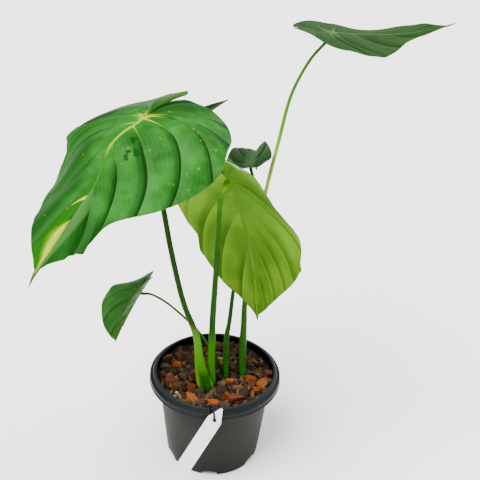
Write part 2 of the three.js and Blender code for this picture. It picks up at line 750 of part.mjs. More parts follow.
// Flat stake label with a pointed, pierced end
function labelFrame() {
  const tip = vector(LABEL_TIP);
  const end = vector(LABEL_END);
  const along = tip.clone().sub(end).normalize();
  const across = new THREE.Vector3().crossVectors(along, vector(LABEL_FACING)).normalize();
  const facing = new THREE.Vector3().crossVectors(across, along).normalize();
  const hole = tip.clone().addScaledVector(along, -LABEL_SHOULDER);
  return { tip, end, along, across, facing, hole, length: tip.distanceTo(end) };
}

function labelBody() {
  const frame = labelFrame();
  const half = LABEL_WIDTH / 2;
  const shape = new THREE.Shape();
  shape.moveTo(-half, 0);
  shape.lineTo(half, 0);
  shape.lineTo(half, frame.length - LABEL_SHOULDER);
  shape.lineTo(1, frame.length);
  shape.lineTo(-1, frame.length);
  shape.lineTo(-half, frame.length - LABEL_SHOULDER);
  shape.closePath();
  const hole = new THREE.Path();
  hole.absarc(0, frame.length - LABEL_SHOULDER, LABEL_HOLE_RADIUS, 0, Math.PI * 2, true);
  shape.holes.push(hole);
  const press = { depth: LABEL_THICKNESS, bevelEnabled: false, curveSegments: 8 };
  const plate = new THREE.ExtrudeGeometry(shape, press);
  plate.translate(0, 0, -LABEL_THICKNESS / 2);
  const basis = new THREE.Matrix4().makeBasis(frame.across, frame.along, frame.facing);
  plate.applyMatrix4(basis);
  plate.translate(frame.end.x, frame.end.y, frame.end.z);
  return plate;
}

// One closed loop of coated wire: through the hole, up and over the rim
function tieBody() {
  const { hole, facing } = labelFrame();
  const front = hole.clone().addScaledVector(facing, 1.7);
  const behind = hole.clone().addScaledVector(facing, -1.7);
  const route = [
    front,
    new THREE.Vector3(-1.6, -74.2, 102.8),
    new THREE.Vector3(-4, -68, 105.8),
    new THREE.Vector3(-5.4, -64, 106.2),
    new THREE.Vector3(-6.4, -60.2, 103.6),
    new THREE.Vector3(-7.2, -58.3, 98.8),
    new THREE.Vector3(-9.2, -58, 98.8),
    new THREE.Vector3(-9.2, -59.8, 103.6),
    new THREE.Vector3(-8.2, -63.8, 106.2),
    new THREE.Vector3(-6.6, -67.8, 105.8),
    new THREE.Vector3(-3, -70.9, 101.2),
    behind,
  ];
  const curve = new THREE.CatmullRomCurve3(route, true, 'centripetal');
  const line = curve.getPoints(34).slice(0, -1);
  return sweep(line, () => [WIRE_RADIUS, WIRE_RADIUS], 5, true, new THREE.Vector3(1, 1, 0));
}

const mix = withoutPockets(geometryFromSolid(mixBody()));
add('pot', geometryFromSolid(potBody()), { color: 0x2b2c2c, roughness: 0.6, metalness: 0 });
add('potting_mix', mix, { color: 0x6b3f26, roughness: 0.95, metalness: 0 });
const root = geometryFromSolid(rhizomeBody(0));
add('rhizome', root, { color: 0x7a6a44, roughness: 0.85, metalness: 0 });
STALKS.forEach((stalk) => {
  add(stalk.name, stalkBody(stalk), { color: stalk.colour, roughness: 0.5, metalness: 0 });
});
LEAVES.forEach((leaf) => {
  add(leaf.name, blade(leaf), { color: leaf.colour, roughness: 0.45, metalness: 0 });
});
add('plant_label', labelBody(), { color: 0xf2f2f0, roughness: 0.55, metalness: 0 });
add('label_tie', tieBody(), { color: 0x1a1a1a, roughness: 0.5, metalness: 0 });

export default plant;
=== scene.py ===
"""Potted philodendron: the finished leaves, stalks, bark mix, pot, label and studio."""
import math

import bpy
import numpy as np
from mathutils import Matrix, Vector


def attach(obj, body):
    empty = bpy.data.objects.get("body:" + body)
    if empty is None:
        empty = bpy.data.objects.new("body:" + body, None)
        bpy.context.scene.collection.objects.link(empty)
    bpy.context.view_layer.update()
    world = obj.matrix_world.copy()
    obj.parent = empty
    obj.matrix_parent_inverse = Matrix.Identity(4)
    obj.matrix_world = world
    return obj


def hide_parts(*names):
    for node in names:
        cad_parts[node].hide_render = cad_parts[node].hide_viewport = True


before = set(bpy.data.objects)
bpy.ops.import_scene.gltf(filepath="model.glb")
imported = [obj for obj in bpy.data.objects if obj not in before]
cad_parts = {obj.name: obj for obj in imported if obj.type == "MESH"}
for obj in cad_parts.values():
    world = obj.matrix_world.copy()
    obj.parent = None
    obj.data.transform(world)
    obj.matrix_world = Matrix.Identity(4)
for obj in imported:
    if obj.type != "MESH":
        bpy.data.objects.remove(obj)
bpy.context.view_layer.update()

bl_info = {
    "name": "Potted Philodendron",
    "version": (1, 0, 0),
    "blender": (4, 5, 0),
    "location": "View3D > Sidebar > Philodendron",
    "description": "Builds a potted philodendron with its bark mix, pot, label and studio",
    "category": "Add Mesh",
}

BODY = "root"
MM = 0.001
# Side in mm of the square that a flat blade's UV map covers, its junction in the middle
FLAT_SPAN = 400
# The camera: focal length in pixels, the picture's side, its turn, fall and roll, and how
# far off, how high round and about which height above the ground it stands
FOCAL, PICTURE = 700, 480
YAW, PITCH, ROLL = 1.8, 27.2, 3.1
DISTANCE, RISE, AIM = 0.764, 37.65, 0.104
FLOOR_HALF = 12000

# Every leaf starts at its junction, where stalk, midrib and side veins meet.
# Millimetres and degrees; the bends are the changes towards the tip, over the
# length and over its square. fold is how far a half is raised and curl how
# much more it turns on its way to the margin, at lobe end, junction, half way
# and tip. An outline runs from the sinus over the lobe to the tip as
# [along the midrib, out from it]; veins are the places of the side veins on it,
# and nicks are its small corners and bites: [place, shift outwards, half width].
# sway bends the midrib sideways: places along it, and the shift to the right half.
LEAVES = {
    "leaf_1": {
        "node": "blade_1", "junction": [-71, -11, 383],
        "heading": 237, "heading_bend": [12, -16], "pitch": -10, "pitch_bend": [-107, 88],
        "lobe_pitch": 10, "roll": 6, "roll_bend": -25,
        "length": 168, "tail": 13, "tail_width": 3, "tail_pitch": -28,
        "puff": 2.2, "wave": 1.2, "waves": 5, "rib": 1.4, "columns": 350, "rows": 46,
        "sway": [[0, 11, 19, 27, 34, 40, 47, 54, 63, 71, 80, 87, 92, 103, 118],
                 [0, -2.6, -0.5, 1.5, 3, 4.3, 3.5, 1.5, -1.5, -3, -3.8, -3.8, -3.3, -1, 0]],
        "left": {
            "lobe": 66, "width": 96, "fold": [-21, -5, -12, -8], "curl": [-18, -21, -23, -5],
            "veins": [0.14, 0.3, 0.4, 0.505, 0.61, 0.675, 0.755, 0.855],
            "outline": [[-20, 0.8], [-44, 4.4], [-59, 16], [-55, 48], [-30, 74], [16, 92],
                        [46, 85], [80, 60], [107, 30], [134, 21], [151, 11], [168, 0]],
            "nicks": [[0.826, 3.4, 0.018], [0.872, -1.2, 0.02], [0.945, -2.4, 0.05]],
        },
        "right": {
            "lobe": 83, "width": 89, "fold": [-15, -9, -19, -8], "curl": [7, -10, -35, -7],
            "veins": [0.12, 0.24, 0.35, 0.45, 0.56, 0.65, 0.745, 0.845],
            "outline": [[-25, 0.8], [-61, 4.6], [-81, 14], [-80, 45], [-50, 78], [8, 90],
                        [39, 83], [77, 66], [117, 44], [145, 23], [160, 9], [168, 0]],
            "nicks": [[0.31, 3.5, 0.07], [0.482, 5.0, 0.03], [0.575, -2.2, 0.035],
                      [0.648, 3.2, 0.065],
                      [0.746, 1.4, 0.02]],
        },
    },
    "leaf_2": {
        "node": "blade_2", "junction": [5, -8, 324],
        "heading": 44, "heading_bend": [1, -1], "pitch": -59, "pitch_bend": [-37, 14],
        "lobe_pitch": 29, "roll": -15, "roll_bend": -19,
        "length": 180, "tail": 6, "tail_width": 2.4, "tail_pitch": 0,
        "puff": 2.4, "wave": 1.2, "waves": 4, "rib": 1.3, "columns": 350, "rows": 46,
        "left": {
            "lobe": 52, "width": 66, "fold": [-13, -7, -4, -2], "curl": [-24, -20, -15, 0],
            "veins": [0.13, 0.27, 0.4, 0.562, 0.65, 0.738, 0.848],
            "outline": [[-15, 0.8], [-36, 3], [-49, 14], [-46, 39], [-28, 57], [12, 61],
                        [49, 58], [93, 51], [130, 36], [154, 19], [168, 8], [180, 0]],
            "nicks": [[0.592, -3.0, 0.04], [0.634, 1.6, 0.018], [0.71, 1.2, 0.02]],
        },
        "right": {
            "lobe": 45, "width": 70, "fold": [-6, -10, -3, 3], "curl": [-25, -22, -14, 1],
            "veins": [0.13, 0.28, 0.44, 0.525, 0.592, 0.7, 0.762, 0.818, 0.9],
            "outline": [[-13, 0.8], [-30, 2.4], [-43, 14], [-42, 44], [-25, 60], [11, 64],
                        [56, 63], [102, 54], [134, 38], [158, 19], [171, 8], [180, 0]],
            "nicks": [[0.612, -1.0, 0.02], [0.64, 1.4, 0.014]],
        },
    },
    "leaf_3": {
        "node": "blade_3", "junction": [27, 53, 318],
        "heading": 79, "heading_bend": [4, 4], "pitch": 16, "pitch_bend": [-47, -52],
        "lobe_pitch": -32, "roll": -2, "roll_bend": -10,
        "length": 84, "tail": 2, "tail_width": 1.8, "tail_pitch": 0,
        "puff": 0.5, "wave": 0.6, "waves": 3, "rib": 0.9, "columns": 220, "rows": 24,
        "left": {
            "lobe": 19, "width": 23, "fold": [18, 20, 15, 5], "curl": [-3, -7, -6, 0],
            "veins": [0.2, 0.4, 0.6, 0.72, 0.84],
            "outline": [[-5, 0.8], [-13, 3], [-19, 8], [-18, 17], [-10, 23], [10, 23.5],
                        [26, 21], [41, 17], [55, 12], [68, 8.5], [79, 3.6], [84, 0]],
        },
        "right": {
            "lobe": 14, "width": 24, "fold": [28, 35, 46, 26], "curl": [0, -10, 0, 0],
            "veins": [0.2, 0.4, 0.58, 0.7, 0.82],
            "outline": [[-4, 0.8], [-10, 3], [-14, 9], [-13, 18], [-8, 24.5], [3, 24.5],
                        [19, 19], [36, 14], [53, 12], [67, 8.5], [79, 3.6], [84, 0]],
        },
    },
    "leaf_4": {
        "node": "blade_4", "junction": [95, 66, 448],
        "heading": 12, "heading_bend": [-5, -3], "pitch": -4, "pitch_bend": [3, 20],
        "lobe_pitch": -10, "roll": -5, "roll_bend": 18,
        "length": 118, "tail": 8, "tail_width": 2, "tail_pitch": 0,
        "puff": 0.9, "wave": 0.8, "waves": 4, "rib": 1.1, "columns": 300, "rows": 34,
        "left": {
            "lobe": 29, "width": 55, "fold": [-1, 4, -5, 3], "curl": [1, 3, -13, 2],
            "veins": [0.17, 0.33, 0.5, 0.62, 0.74, 0.86],
            "outline": [[-9, 1], [-20, 5], [-27, 17], [-26, 35], [-15, 50], [12, 54],
                        [36, 52], [61, 43], [83, 29], [99, 15], [110, 5], [118, 0]],
        },
        "right": {
            "lobe": 42, "width": 56, "fold": [-1, -5, -6, -9], "curl": [-5, -10, -15, 0],
            "veins": [0.17, 0.33, 0.48, 0.6, 0.72, 0.85],
            "outline": [[-13, 0.9], [-32, 6], [-43, 19], [-40, 37], [-22, 52], [11, 56],
                        [31, 53], [46, 42], [62, 27], [78, 13], [95, 5], [118, 0]],
        },
    },
    "leaf_5": {
        "node": "blade_5", "junction": [-79, 8, 191],
        "heading": 244, "heading_bend": [9, -2], "pitch": -24, "pitch_bend": [-17, 14],
        "lobe_pitch": 13, "roll": 19, "roll_bend": 7,
        "length": 58, "tail": 2, "tail_width": 1.8, "tail_pitch": 0,
        "puff": 0.5, "wave": 0.5, "waves": 3, "rib": 0.8, "columns": 240, "rows": 26,
        "left": {
            "lobe": 15, "width": 26, "fold": [36, 43.5, 56, 78], "curl": [0, 0, 0, 0],
            "veins": [0.2, 0.4, 0.58, 0.71, 0.84],
            "outline": [[-5, 0.8], [-11, 3], [-15, 8], [-14, 15], [-8, 22], [4, 26],
                        [16, 24], [27, 21], [39, 16], [48, 10], [54, 5], [58, 0]],
        },
        "right": {
            "lobe": 37, "width": 42, "fold": [-14, 10, 13, 8], "curl": [-25, -12, -8, 1],
            "veins": [0.2, 0.39, 0.56, 0.7, 0.83],
            "outline": [[-11, 0.9], [-28, 3.4], [-37, 11], [-36, 26], [-21, 38], [4, 43],
                        [17, 41], [30, 33], [43, 23], [52, 12], [56, 5], [58, 0]],
        },
    },
    "leaf_6": {
        "node": "blade_6", "junction": [-37, 20, 362],
        "heading": 50, "heading_bend": [0, 0], "pitch": 15, "pitch_bend": [4, -4],
        "lobe_pitch": -25, "roll": 0, "roll_bend": 0,
        "length": 62, "tail": 2, "tail_width": 1.8, "tail_pitch": 0,
        "puff": 0.3, "wave": 0.3, "waves": 2, "rib": 0.6, "columns": 180, "rows": 20,
        "left": {
            "lobe": 14, "width": 15, "fold": [45, 45, 45, 45], "curl": [30, 30, 30, 20],
            "veins": [0.22, 0.45, 0.64, 0.8],
            "outline": [[-4, 0.7], [-10, 2.5], [-14, 6], [-12, 11], [-6, 14], [6, 14],
                        [19, 11], [32, 8], [43, 5.5], [52, 3.2], [58, 1.6], [62, 0]],
        },
    },
}
LEAVES["leaf_6"]["right"] = LEAVES["leaf_6"]["left"]

# How the side veins leave the midrib and bow, as in the solid blades
FAN_SHARE = 0.56
FAN_POWER = 1.7
VEIN_BOW = 0.5
JOINT_GAP = 0.35
SOLID_BLADE = 0.8


def srgb(code):
    """Linear colour, with alpha, of a hex colour such as "3f8a2e"."""
    share = np.array([int(code[i:i + 2], 16) for i in (0, 2, 4)]) / 255
    linear = np.where(share <= 0.04045, share / 12.92, ((share + 0.055) / 1.055) ** 2.4)
    return (*linear, 1.0)


def smooth(x, low, high):
    """Smooth step: 0 below low, 1 above high, easing between."""
    t = np.clip((np.asarray(x, float) - low) / (high - low), 0, 1)
    return t * t * (3 - 2 * t)


def unit(vectors):
    """Each row divided by its length."""
    return vectors / np.maximum(np.linalg.norm(vectors, axis=-1, keepdims=True), 1e-12)


def triangles(quads):
    """Two triangles for every quad (a, b, c, d), without those that have two corners alike."""
    quads = np.asarray(quads).reshape(-1, 4)
    tris = np.concatenate([quads[:, [0, 1, 2]], quads[:, [0, 2, 3]]])
    a, b, c = tris.T
    return tris[(a != b) & (b != c) & (c != a)]


def grid_quads(index, wrap_rows=False, wrap_columns=False):
    """Quads between the neighbours of a 2-D array of vertex numbers."""
    if wrap_rows:
        index = np.concatenate([index, index[:1]], 0)
    if wrap_columns:
        index = np.concatenate([index, index[:, :1]], 1)
    corners = [index[:-1, :-1], index[1:, :-1], index[1:, 1:], index[:-1, 1:]]
    return np.stack(corners, -1).reshape(-1, 4)


def has_edge(tris, edge):
    """Whether a triangle runs from the first to the second vertex of an edge."""
    return any(((tris == edge[0]) & (np.roll(tris, -1, 1) == edge[1])).ravel())


def normals_of(points, tris):
    """Area-weighted normals at the vertices: the sum of the cross products of the faces there."""
    a, b, c = (points[tris[:, k]] for k in range(3))
    face = np.cross(b - a, c - a)
    total = np.zeros_like(points)
    for k in range(3):
        np.add.at(total, tris[:, k], face)
    return unit(total)


def volume_of(points, tris):
    """Signed volume: a sixth of the sum of the triple products of the faces."""
    a, b, c = (points[tris[:, k]] for k in range(3))
    return np.einsum("ij,ij->", a, np.cross(b, c)) / 6


def make_piece(name, points, tris, materials, kind=None, uv=None, values=None, colours=None,
               sharp=None):
    """A closed mesh object from millimetre points and triangles, turned to face outwards.
    kind numbers the material of each face, uv is one point per vertex, values and
    colours are attributes per vertex, and sharp is the angle past which edges are sharp."""
    if volume_of(points, tris) < 0:
        tris = tris[:, ::-1]
    mesh = bpy.data.meshes.new(name)
    mesh.vertices.add(len(points))
    mesh.vertices.foreach_set("co", (np.asarray(points) * MM).astype(np.float32).ravel())
    mesh.loops.add(3 * len(tris))
    mesh.loops.foreach_set("vertex_index", tris.astype(np.int32).ravel())
    mesh.polygons.add(len(tris))
    mesh.polygons.foreach_set("loop_start", np.arange(0, 3 * len(tris), 3, dtype=np.int32))
    mesh.polygons.foreach_set("use_smooth", np.ones(len(tris), bool))
    if kind is not None:
        mesh.polygons.foreach_set("material_index", kind.astype(np.int32))
    mesh.update(calc_edges=True)
    if uv is not None:
        layer = mesh.uv_layers.new(name="UVMap")
        layer.data.foreach_set("uv", uv[tris.ravel()].astype(np.float32).ravel())
    for key, value in (values or {}).items():
        attribute = mesh.attributes.new(key, "FLOAT", "POINT")
        attribute.data.foreach_set("value", value.astype(np.float32))
    for key, value in (colours or {}).items():
        attribute = mesh.attributes.new(key, "FLOAT_COLOR", "POINT")
        attribute.data.foreach_set("color", value.astype(np.float32).ravel())
    if sharp is not None:
        mesh.set_sharp_from_angle(angle=math.radians(sharp))
    for material in materials:
        mesh.materials.append(material)
    if mesh.validate():
        raise RuntimeError(name + " has faces that Blender had to mend")
    piece = bpy.data.objects.new(name, mesh)
    bpy.context.scene.collection.objects.link(piece)
    return piece


def place(piece, slot, *nodes):
    """Rides on the one body and stands for its solid nodes; slot is not used."""
    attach(piece, BODY)
    if nodes:
        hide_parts(*nodes)


class Finish:
    """A material built round one Principled shader. Inputs are sockets or plain values."""

    def __init__(self, name, **settings):
        self.material = bpy.data.materials.new(name)
        self.material.use_nodes = True
        self.tree = self.material.node_tree
        self.shader = self.tree.nodes["Principled BSDF"]
        for socket, value in settings.items():
            self.shader.inputs[socket.replace("_", " ")].default_value = value

    def feed(self, socket, value):
        if isinstance(value, bpy.types.NodeSocket):
            self.tree.links.new(value, socket)
        else:
            socket.default_value = value

    def node(self, kind, inputs=(), **settings):
        made = self.tree.nodes.new(kind)
        for key, value in settings.items():
            setattr(made, key, value)
        for key, value in dict(inputs).items():
            self.feed(made.inputs[key], value)
        return made

    def maths(self, operation, *values, clamp=False):
        made = self.node("ShaderNodeMath", operation=operation, use_clamp=clamp)
        for i, value in enumerate(values):
            self.feed(made.inputs[i], value)
        return made.outputs[0]

    def times(self, *shares):
        """Product of shares."""
        total = shares[0]
        for share in shares[1:]:
            total = self.maths("MULTIPLY", total, share)
        return total

    def vector(self, operation, *values, output=0):
        made = self.node("ShaderNodeVectorMath", dict(enumerate(values)), operation=operation)
        return made.outputs[output]

    def attribute(self, name, output="Fac"):
        return self.node("ShaderNodeAttribute", attribute_name=name).outputs[output]

    def step(self, value, low, high, lowest=0.0, highest=1.0):
        """Smooth step of a value from lowest at low to highest at high."""
        inputs = {"Value": value, "From Min": low, "From Max": high,
                  "To Min": lowest, "To Max": highest}
        made = self.node("ShaderNodeMapRange", inputs, interpolation_type="SMOOTHSTEP")
        return made.outputs["Result"]

    def blend(self, share, first, second):
        """Mix of two colours by a share."""
        made = self.node("ShaderNodeMix", data_type="RGBA", clamp_factor=True)
        for i, value in ((0, share), (6, first), (7, second)):
            self.feed(made.inputs[i], srgb(value) if isinstance(value, str) else value)
        return made.outputs[2]

    def noise(self, where, scale, detail=3.0, roughness=0.55, output="Fac"):
        inputs = {"Vector": where, "Scale": scale, "Detail": detail, "Roughness": roughness}
        return self.node("ShaderNodeTexNoise", inputs).outputs[output]

    def where(self, stretch=(1, 1, 1), output="Object"):
        """Object coordinates in millimetres, or the piece's own UV, stretched."""
        source = self.node("ShaderNodeTexCoord").outputs[output]
        scale = [s / MM for s in stretch] if output == "Object" else stretch
        return self.node("ShaderNodeMapping", {"Vector": source, "Scale": scale}).outputs[0]

    def bump(self, height, depth_mm, strength=1.0):
        inputs = {"Height": height, "Distance": depth_mm * MM, "Strength": strength}
        made = self.node("ShaderNodeBump", inputs)
        self.feed(self.shader.inputs["Normal"], made.outputs[0])

    def colour(self, value):
        self.feed(self.shader.inputs["Base Color"], value)

    def rough(self, value):
        self.feed(self.shader.inputs["Roughness"], value)


def eased(places, values, at):
    """Values eased between stations by a smooth step."""
    places = np.asarray(places, float)
    values = np.asarray(values, float)
    i = np.clip(np.searchsorted(places, at) - 1, 0, len(places) - 2)
    t = np.clip((at - places[i]) / (places[i + 1] - places[i]), 0, 1)
    return values[i] + (values[i + 1] - values[i]) * t * t * (3 - 2 * t)


def spline(points, t):
    """Uniform Catmull-Rom curve through points at t from 0 to 1, with clamped ends."""
    points = np.asarray(points, float)
    last = len(points) - 1
    w = np.clip(t, 0, 1) * last
    i = np.minimum(w.astype(int), last - 1)
    w = (w - i)[..., None]
    before, here, after = points[np.maximum(i - 1, 0)], points[i], points[i + 1]
    beyond = points[np.minimum(i + 2, last)]
    m0, m1 = (after - before) / 2, (beyond - here) / 2
    cubic = (2 * here - 2 * after + m0 + m1) * w + (-3 * here + 3 * after - 2 * m0 - m1)
    return (cubic * w + m0) * w + here


def follow(x, table, rows):
    """Rows of a table read at x, with straight lines between."""
    return np.stack([np.interp(x, table, rows[:, k]) for k in range(3)], -1)


def midrib_of(leaf):
    """The midrib's distances, places, sideways and upward directions. Its slope and
    heading turn with the distance, and its place is their running sum."""
    lobe = max(leaf["left"]["lobe"], leaf["right"]["lobe"]) * 1.02
    x = np.linspace(-lobe, leaf["length"] + leaf["tail"], 201)
    f = np.clip(x / leaf["length"], 0, 1)
    droop = np.clip((x - leaf["length"]) / leaf["tail"] + 0.5, 0, 1) * leaf["tail_pitch"]
    back = np.maximum(-x, 0) / lobe * leaf["lobe_pitch"]
    pitch = np.radians(leaf["pitch"] + np.polyval([*leaf["pitch_bend"][::-1], 0], f) + back + droop)
    heading = np.radians(leaf["heading"] + np.polyval([*leaf["heading_bend"][::-1], 0], f))
    roll = np.radians(leaf["roll"] + leaf["roll_bend"] * f)[:, None]
    level = np.stack([np.sin(heading), -np.cos(heading), 0 * heading], -1)
    flat = np.stack([np.cos(heading), np.sin(heading), 0 * heading], -1)
    along = flat * np.cos(pitch)[:, None]
    along[:, 2] = np.sin(pitch)
    upright = np.cross(level, along)
    side = level * np.cos(roll) - upright * np.sin(roll)
    up = upright * np.cos(roll) + level * np.sin(roll)
    where = np.zeros_like(along)
    where[1:] = np.cumsum((along[1:] + along[:-1]) / 2 * np.diff(x)[:, None], 0)
    where += leaf["junction"] - follow(0, x, where)
    return x, where, side, up


def flat_blade(leaf, half, u, v):
    """Flat place [along, out] on a half: u runs round the margin from the sinus (0) to the
    tip (1) and into the tail (2), v along a side vein from the midrib (0) to the margin (1).
    A vein is a bowed quadratic curve from its foot on the midrib to the margin."""
    tail = u > 1
    slim = leaf["tail_width"] / 2
    out = np.stack([leaf["length"] + (u - 1) * leaf["tail"], slim * (2 - u)], -1)
    margin = spline(half["outline"], u)
    ahead = unit(spline(half["outline"], u + 0.003) - spline(half["outline"], u - 0.003))
    for at, shift, spread in half.get("nicks", ()):
        push = shift * np.maximum(1 - np.abs(u - at) / spread, 0)
        margin += push[..., None] * ahead[..., ::-1] * [-1, 1]
    margin = np.where(tail[..., None], out, margin)
    x, y = margin[..., 0], margin[..., 1]
    y = np.where((x > 0) & ~tail, np.maximum(y, slim), y)
    share = np.clip((u - FAN_SHARE) / (1 - FAN_SHARE), 0, 1) ** FAN_POWER
    foot = np.where(tail, x, leaf["length"] * share)
    chord = x - foot
    spread = np.where(chord > 0, np.minimum(y / np.maximum(chord, 1e-6), 1), 1)
    bow = np.where(tail, 0, VEIN_BOW * spread * eased([0.1, 0.6], [0, 1], u))
    middle = (foot + x) / 2 - y * bow, y / 2 + chord * bow
    w = 1 - v
    return (foot * w * w + 2 * v * w * middle[0] + x * v * v,
            2 * v * w * middle[1] + y * v * v)


def raise_blade(leaf, half, sign, x, y, puff, spine):
    """Flat places bent into space: each half leaves the midrib at its fold and turns
    steadily by its curl, and puff lifts the sheet along its own normal."""
    table, where, side, up = spine
    station = np.where(x > 0, x / leaf["length"], x / half["lobe"])
    fold = np.radians(eased([-1, 0, 0.5, 1], half["fold"], station))
    turn = np.radians(eased([-1, 0, 0.5, 1], half["curl"], station)) / half["width"]
    turn = np.where(np.abs(turn) < 1e-6, 1e-6, turn)
    slope = fold + turn * y
    across = (np.sin(slope) - np.sin(fold)) / turn - puff * np.sin(slope)
    lift = (np.cos(fold) - np.cos(slope)) / turn + puff * np.cos(slope)
    return (follow(x, table, where) + follow(x, table, side) * (sign * across)[..., None]
            + follow(x, table, up) * lift[..., None])


def vein_columns(leaf):
    """Margin places of the grid columns: every side vein of both halves has a column of
    its own, and the columns between crowd towards the veins."""
    veins = sorted({0.0, 1.0, *leaf["left"]["veins"], *leaf["right"]["veins"]})
    stops = [veins[0]]
    stops += [b for a, b in zip(veins, veins[1:]) if b - a > 0.012 or b == 1]
    parts = []
    for a, b in zip(stops, stops[1:]):
        t = np.linspace(0, 1, max(4, round((b - a) * leaf["columns"])), endpoint=False)
        parts.append(a + (b - a) * (t - 0.09 * np.sin(2 * np.pi * t)))
    return np.concatenate([*parts, np.linspace(1, 2, 10)])


def build_blade(leaf, settings):
    """One closed blade. The middle sheet is flat_blade bent by raise_blade, pillowed by
    the power of a sine between side veins, and shifted sideways by the leaf's sway, which
    fades by a power of the way to the margin. The upper side sinks in a groove along each
    vein and the underside stands out there as a round rib; a half-round edge joins them."""
    columns = vein_columns(leaf)
    rows = np.linspace(0, 1, leaf["rows"]) ** 1.4
    u, v = np.meshgrid(columns, rows, indexing="ij")
    spine = midrib_of(leaf)
    count, depth = u.shape
    points, facts, flats = [], [], []
    for side, sign in (("left", -1), ("right", 1)):
        half = leaf[side]
        x, y = flat_blade(leaf, half, u, v)
        veins = np.array([0.0, *half["veins"], 1.0])
        panel = np.interp(u, veins, np.arange(len(veins)))
        reach = np.sin(np.pi * np.minimum(v, 0.97) ** 0.8) ** 0.7
        pillow = np.abs(np.sin(np.pi * np.clip(panel, 0, len(veins) - 1))) ** 1.15
        swell = np.sin(2 * np.pi * leaf["waves"] * u + sign) * v ** 3
        ripple = np.sin(2 * np.pi * (leaf["waves"] * 2.3 * u) + 2 * sign) * v ** 4
        fade = np.clip((1 - u) * 8, 0, 1)
        puff = settings.quilt * leaf["puff"] * pillow * reach * smooth(np.hypot(x, y), 2, 26)
        puff += leaf["wave"] * (swell + 0.35 * ripple) * fade
        bent = raise_blade(leaf, half, sign, x, y, puff, spine)
        if "sway" in leaf:
            sway = np.interp(x, *leaf["sway"]) * np.clip(1 - v, 0, 1) ** 1.6
            bent = bent + follow(x, spine[0], spine[2]) * sway[..., None]
        points.append(bent)
        flats.append(np.stack([x, sign * y], -1))
        step_u = np.stack(np.gradient(x, axis=0), 0), np.stack(np.gradient(y, axis=0), 0)
        step_v = np.gradient(x, axis=1), np.gradient(y, axis=1)
        rate = np.gradient(columns)[:, None]
        cross = np.abs(step_u[0] * step_v[1] - step_u[1] * step_v[0]) / rate
        breadth = cross / np.maximum(np.hypot(*step_v), 1e-9)
        nearest = np.min(np.abs(u[..., None] - np.array(half["veins"])), -1)
        facts.append({
            "vein": nearest * breadth + 3 * np.maximum(u - 1, 0),
            "rib": y,
            "hub": np.hypot(x, y),
            "panel": panel + 20 * (sign > 0),
            "along": u,
            "reach": v,
            "edge": (1 - v) * np.maximum(np.hypot(x[:, -1:] - x[:, :1], y[:, -1:] - y[:, :1]), 0.5),
        })
    feet = flats[0][:, 0, 0]
    left = np.arange(count * depth).reshape(count, depth)
    right = left + count * depth
    left[feet < 0.3, 0] = 0
    left[-1, :] = left[-1, 0]
    right[:, 0] = left[:, 0]
    right[-1, :] = left[-1, 0]
    sheet = np.concatenate([triangles(grid_quads(left)), triangles(grid_quads(right))[:, ::-1]])
    ring = np.concatenate([[0], left[0, 1:-1], left[:-1, -1], [left[-1, 0]],
                           right[:-1, -1][::-1], right[0, 1:-1][::-1]])
    points = np.concatenate([p.reshape(-1, 3) for p in points])
    flat = np.concatenate([p.reshape(-1, 2) for p in flats])
    fact = {k: np.concatenate([facts[0][k].ravel(), facts[1][k].ravel()]) for k in facts[0]}
    used, back = np.unique(sheet, return_inverse=True)
    sheet = back.reshape(-1, 3)
    ring = np.searchsorted(used, ring)
    points, flat = points[used], flat[used]
    fact = {k: value[used] for k, value in fact.items()}
    normal = normals_of(points, sheet)
    if np.einsum("ij,ij->", normal, follow(flat[:, 0], spine[0], spine[3])) < 0:
        normal = -normal
        sheet = sheet[:, ::-1]
        ring = ring[::-1]

    fade = 1 - 0.85 * np.clip(flat[:, 0] / leaf["length"], 0, 1)
    out = np.clip(fact["reach"], 0, 1)
    edge = smooth(fact["edge"], 0, 2.5)
    rib_width = 0.35 + 1.1 * fade * leaf["rib"]
    vein_width = 0.3 + 0.6 * leaf["rib"] * (1 - 0.7 * out)
    rib = np.exp(-((fact["rib"] / rib_width) ** 2)) * (flat[:, 0] > -1)
    vein = np.exp(-((fact["vein"] / vein_width) ** 2)) * (fact["along"] < 1)
    half_sheet = settings.thickness / MM / 2
    dip = 0.35 * rib * fade + 0.28 * vein * (1 - 0.6 * out)
    over = half_sheet - dip * settings.groove * edge
    raised = np.maximum(0.8 * fade * rib, 0.3 * (1 - out) ** 0.7 * vein) * leaf["rib"]
    under = half_sheet + raised * edge
    top = points + normal * over[:, None]
    bottom = points - normal * under[:, None]
    mid = points[ring]
    ahead = unit(np.roll(mid, -1, 0) - np.roll(mid, 1, 0))
    outward = np.cross(ahead, normal[ring])
    if np.einsum("ij,ij->", outward, mid - points.mean(0)) < 0:
        outward = -outward
    rim = mid + outward * half_sheet * 0.8
    n = len(points)
    loops = np.stack([ring, np.arange(len(ring)) + 2 * n, ring + n], 0)
    edge_tris = triangles(grid_quads(loops, wrap_columns=True))
    whole = np.concatenate([top, bottom, rim])
    shell = np.concatenate([sheet, sheet[:, ::-1] + n])
    # The edge strip must run against the upper sheet's own border
    first = ring[1:3]
    if has_edge(sheet, first) == has_edge(edge_tris, first):
        edge_tris = edge_tris[:, ::-1]
    tris = np.concatenate([shell, edge_tris])
    kind = np.zeros(len(tris), int)
    kind[len(sheet):2 * len(sheet)] = 1
    values = {k: np.concatenate([f, f, f[ring]]) for k, f in fact.items()}
    uv = np.concatenate([flat, flat, flat[ring]]) / FLAT_SPAN + 0.5
    return whole, tris, kind, uv, values
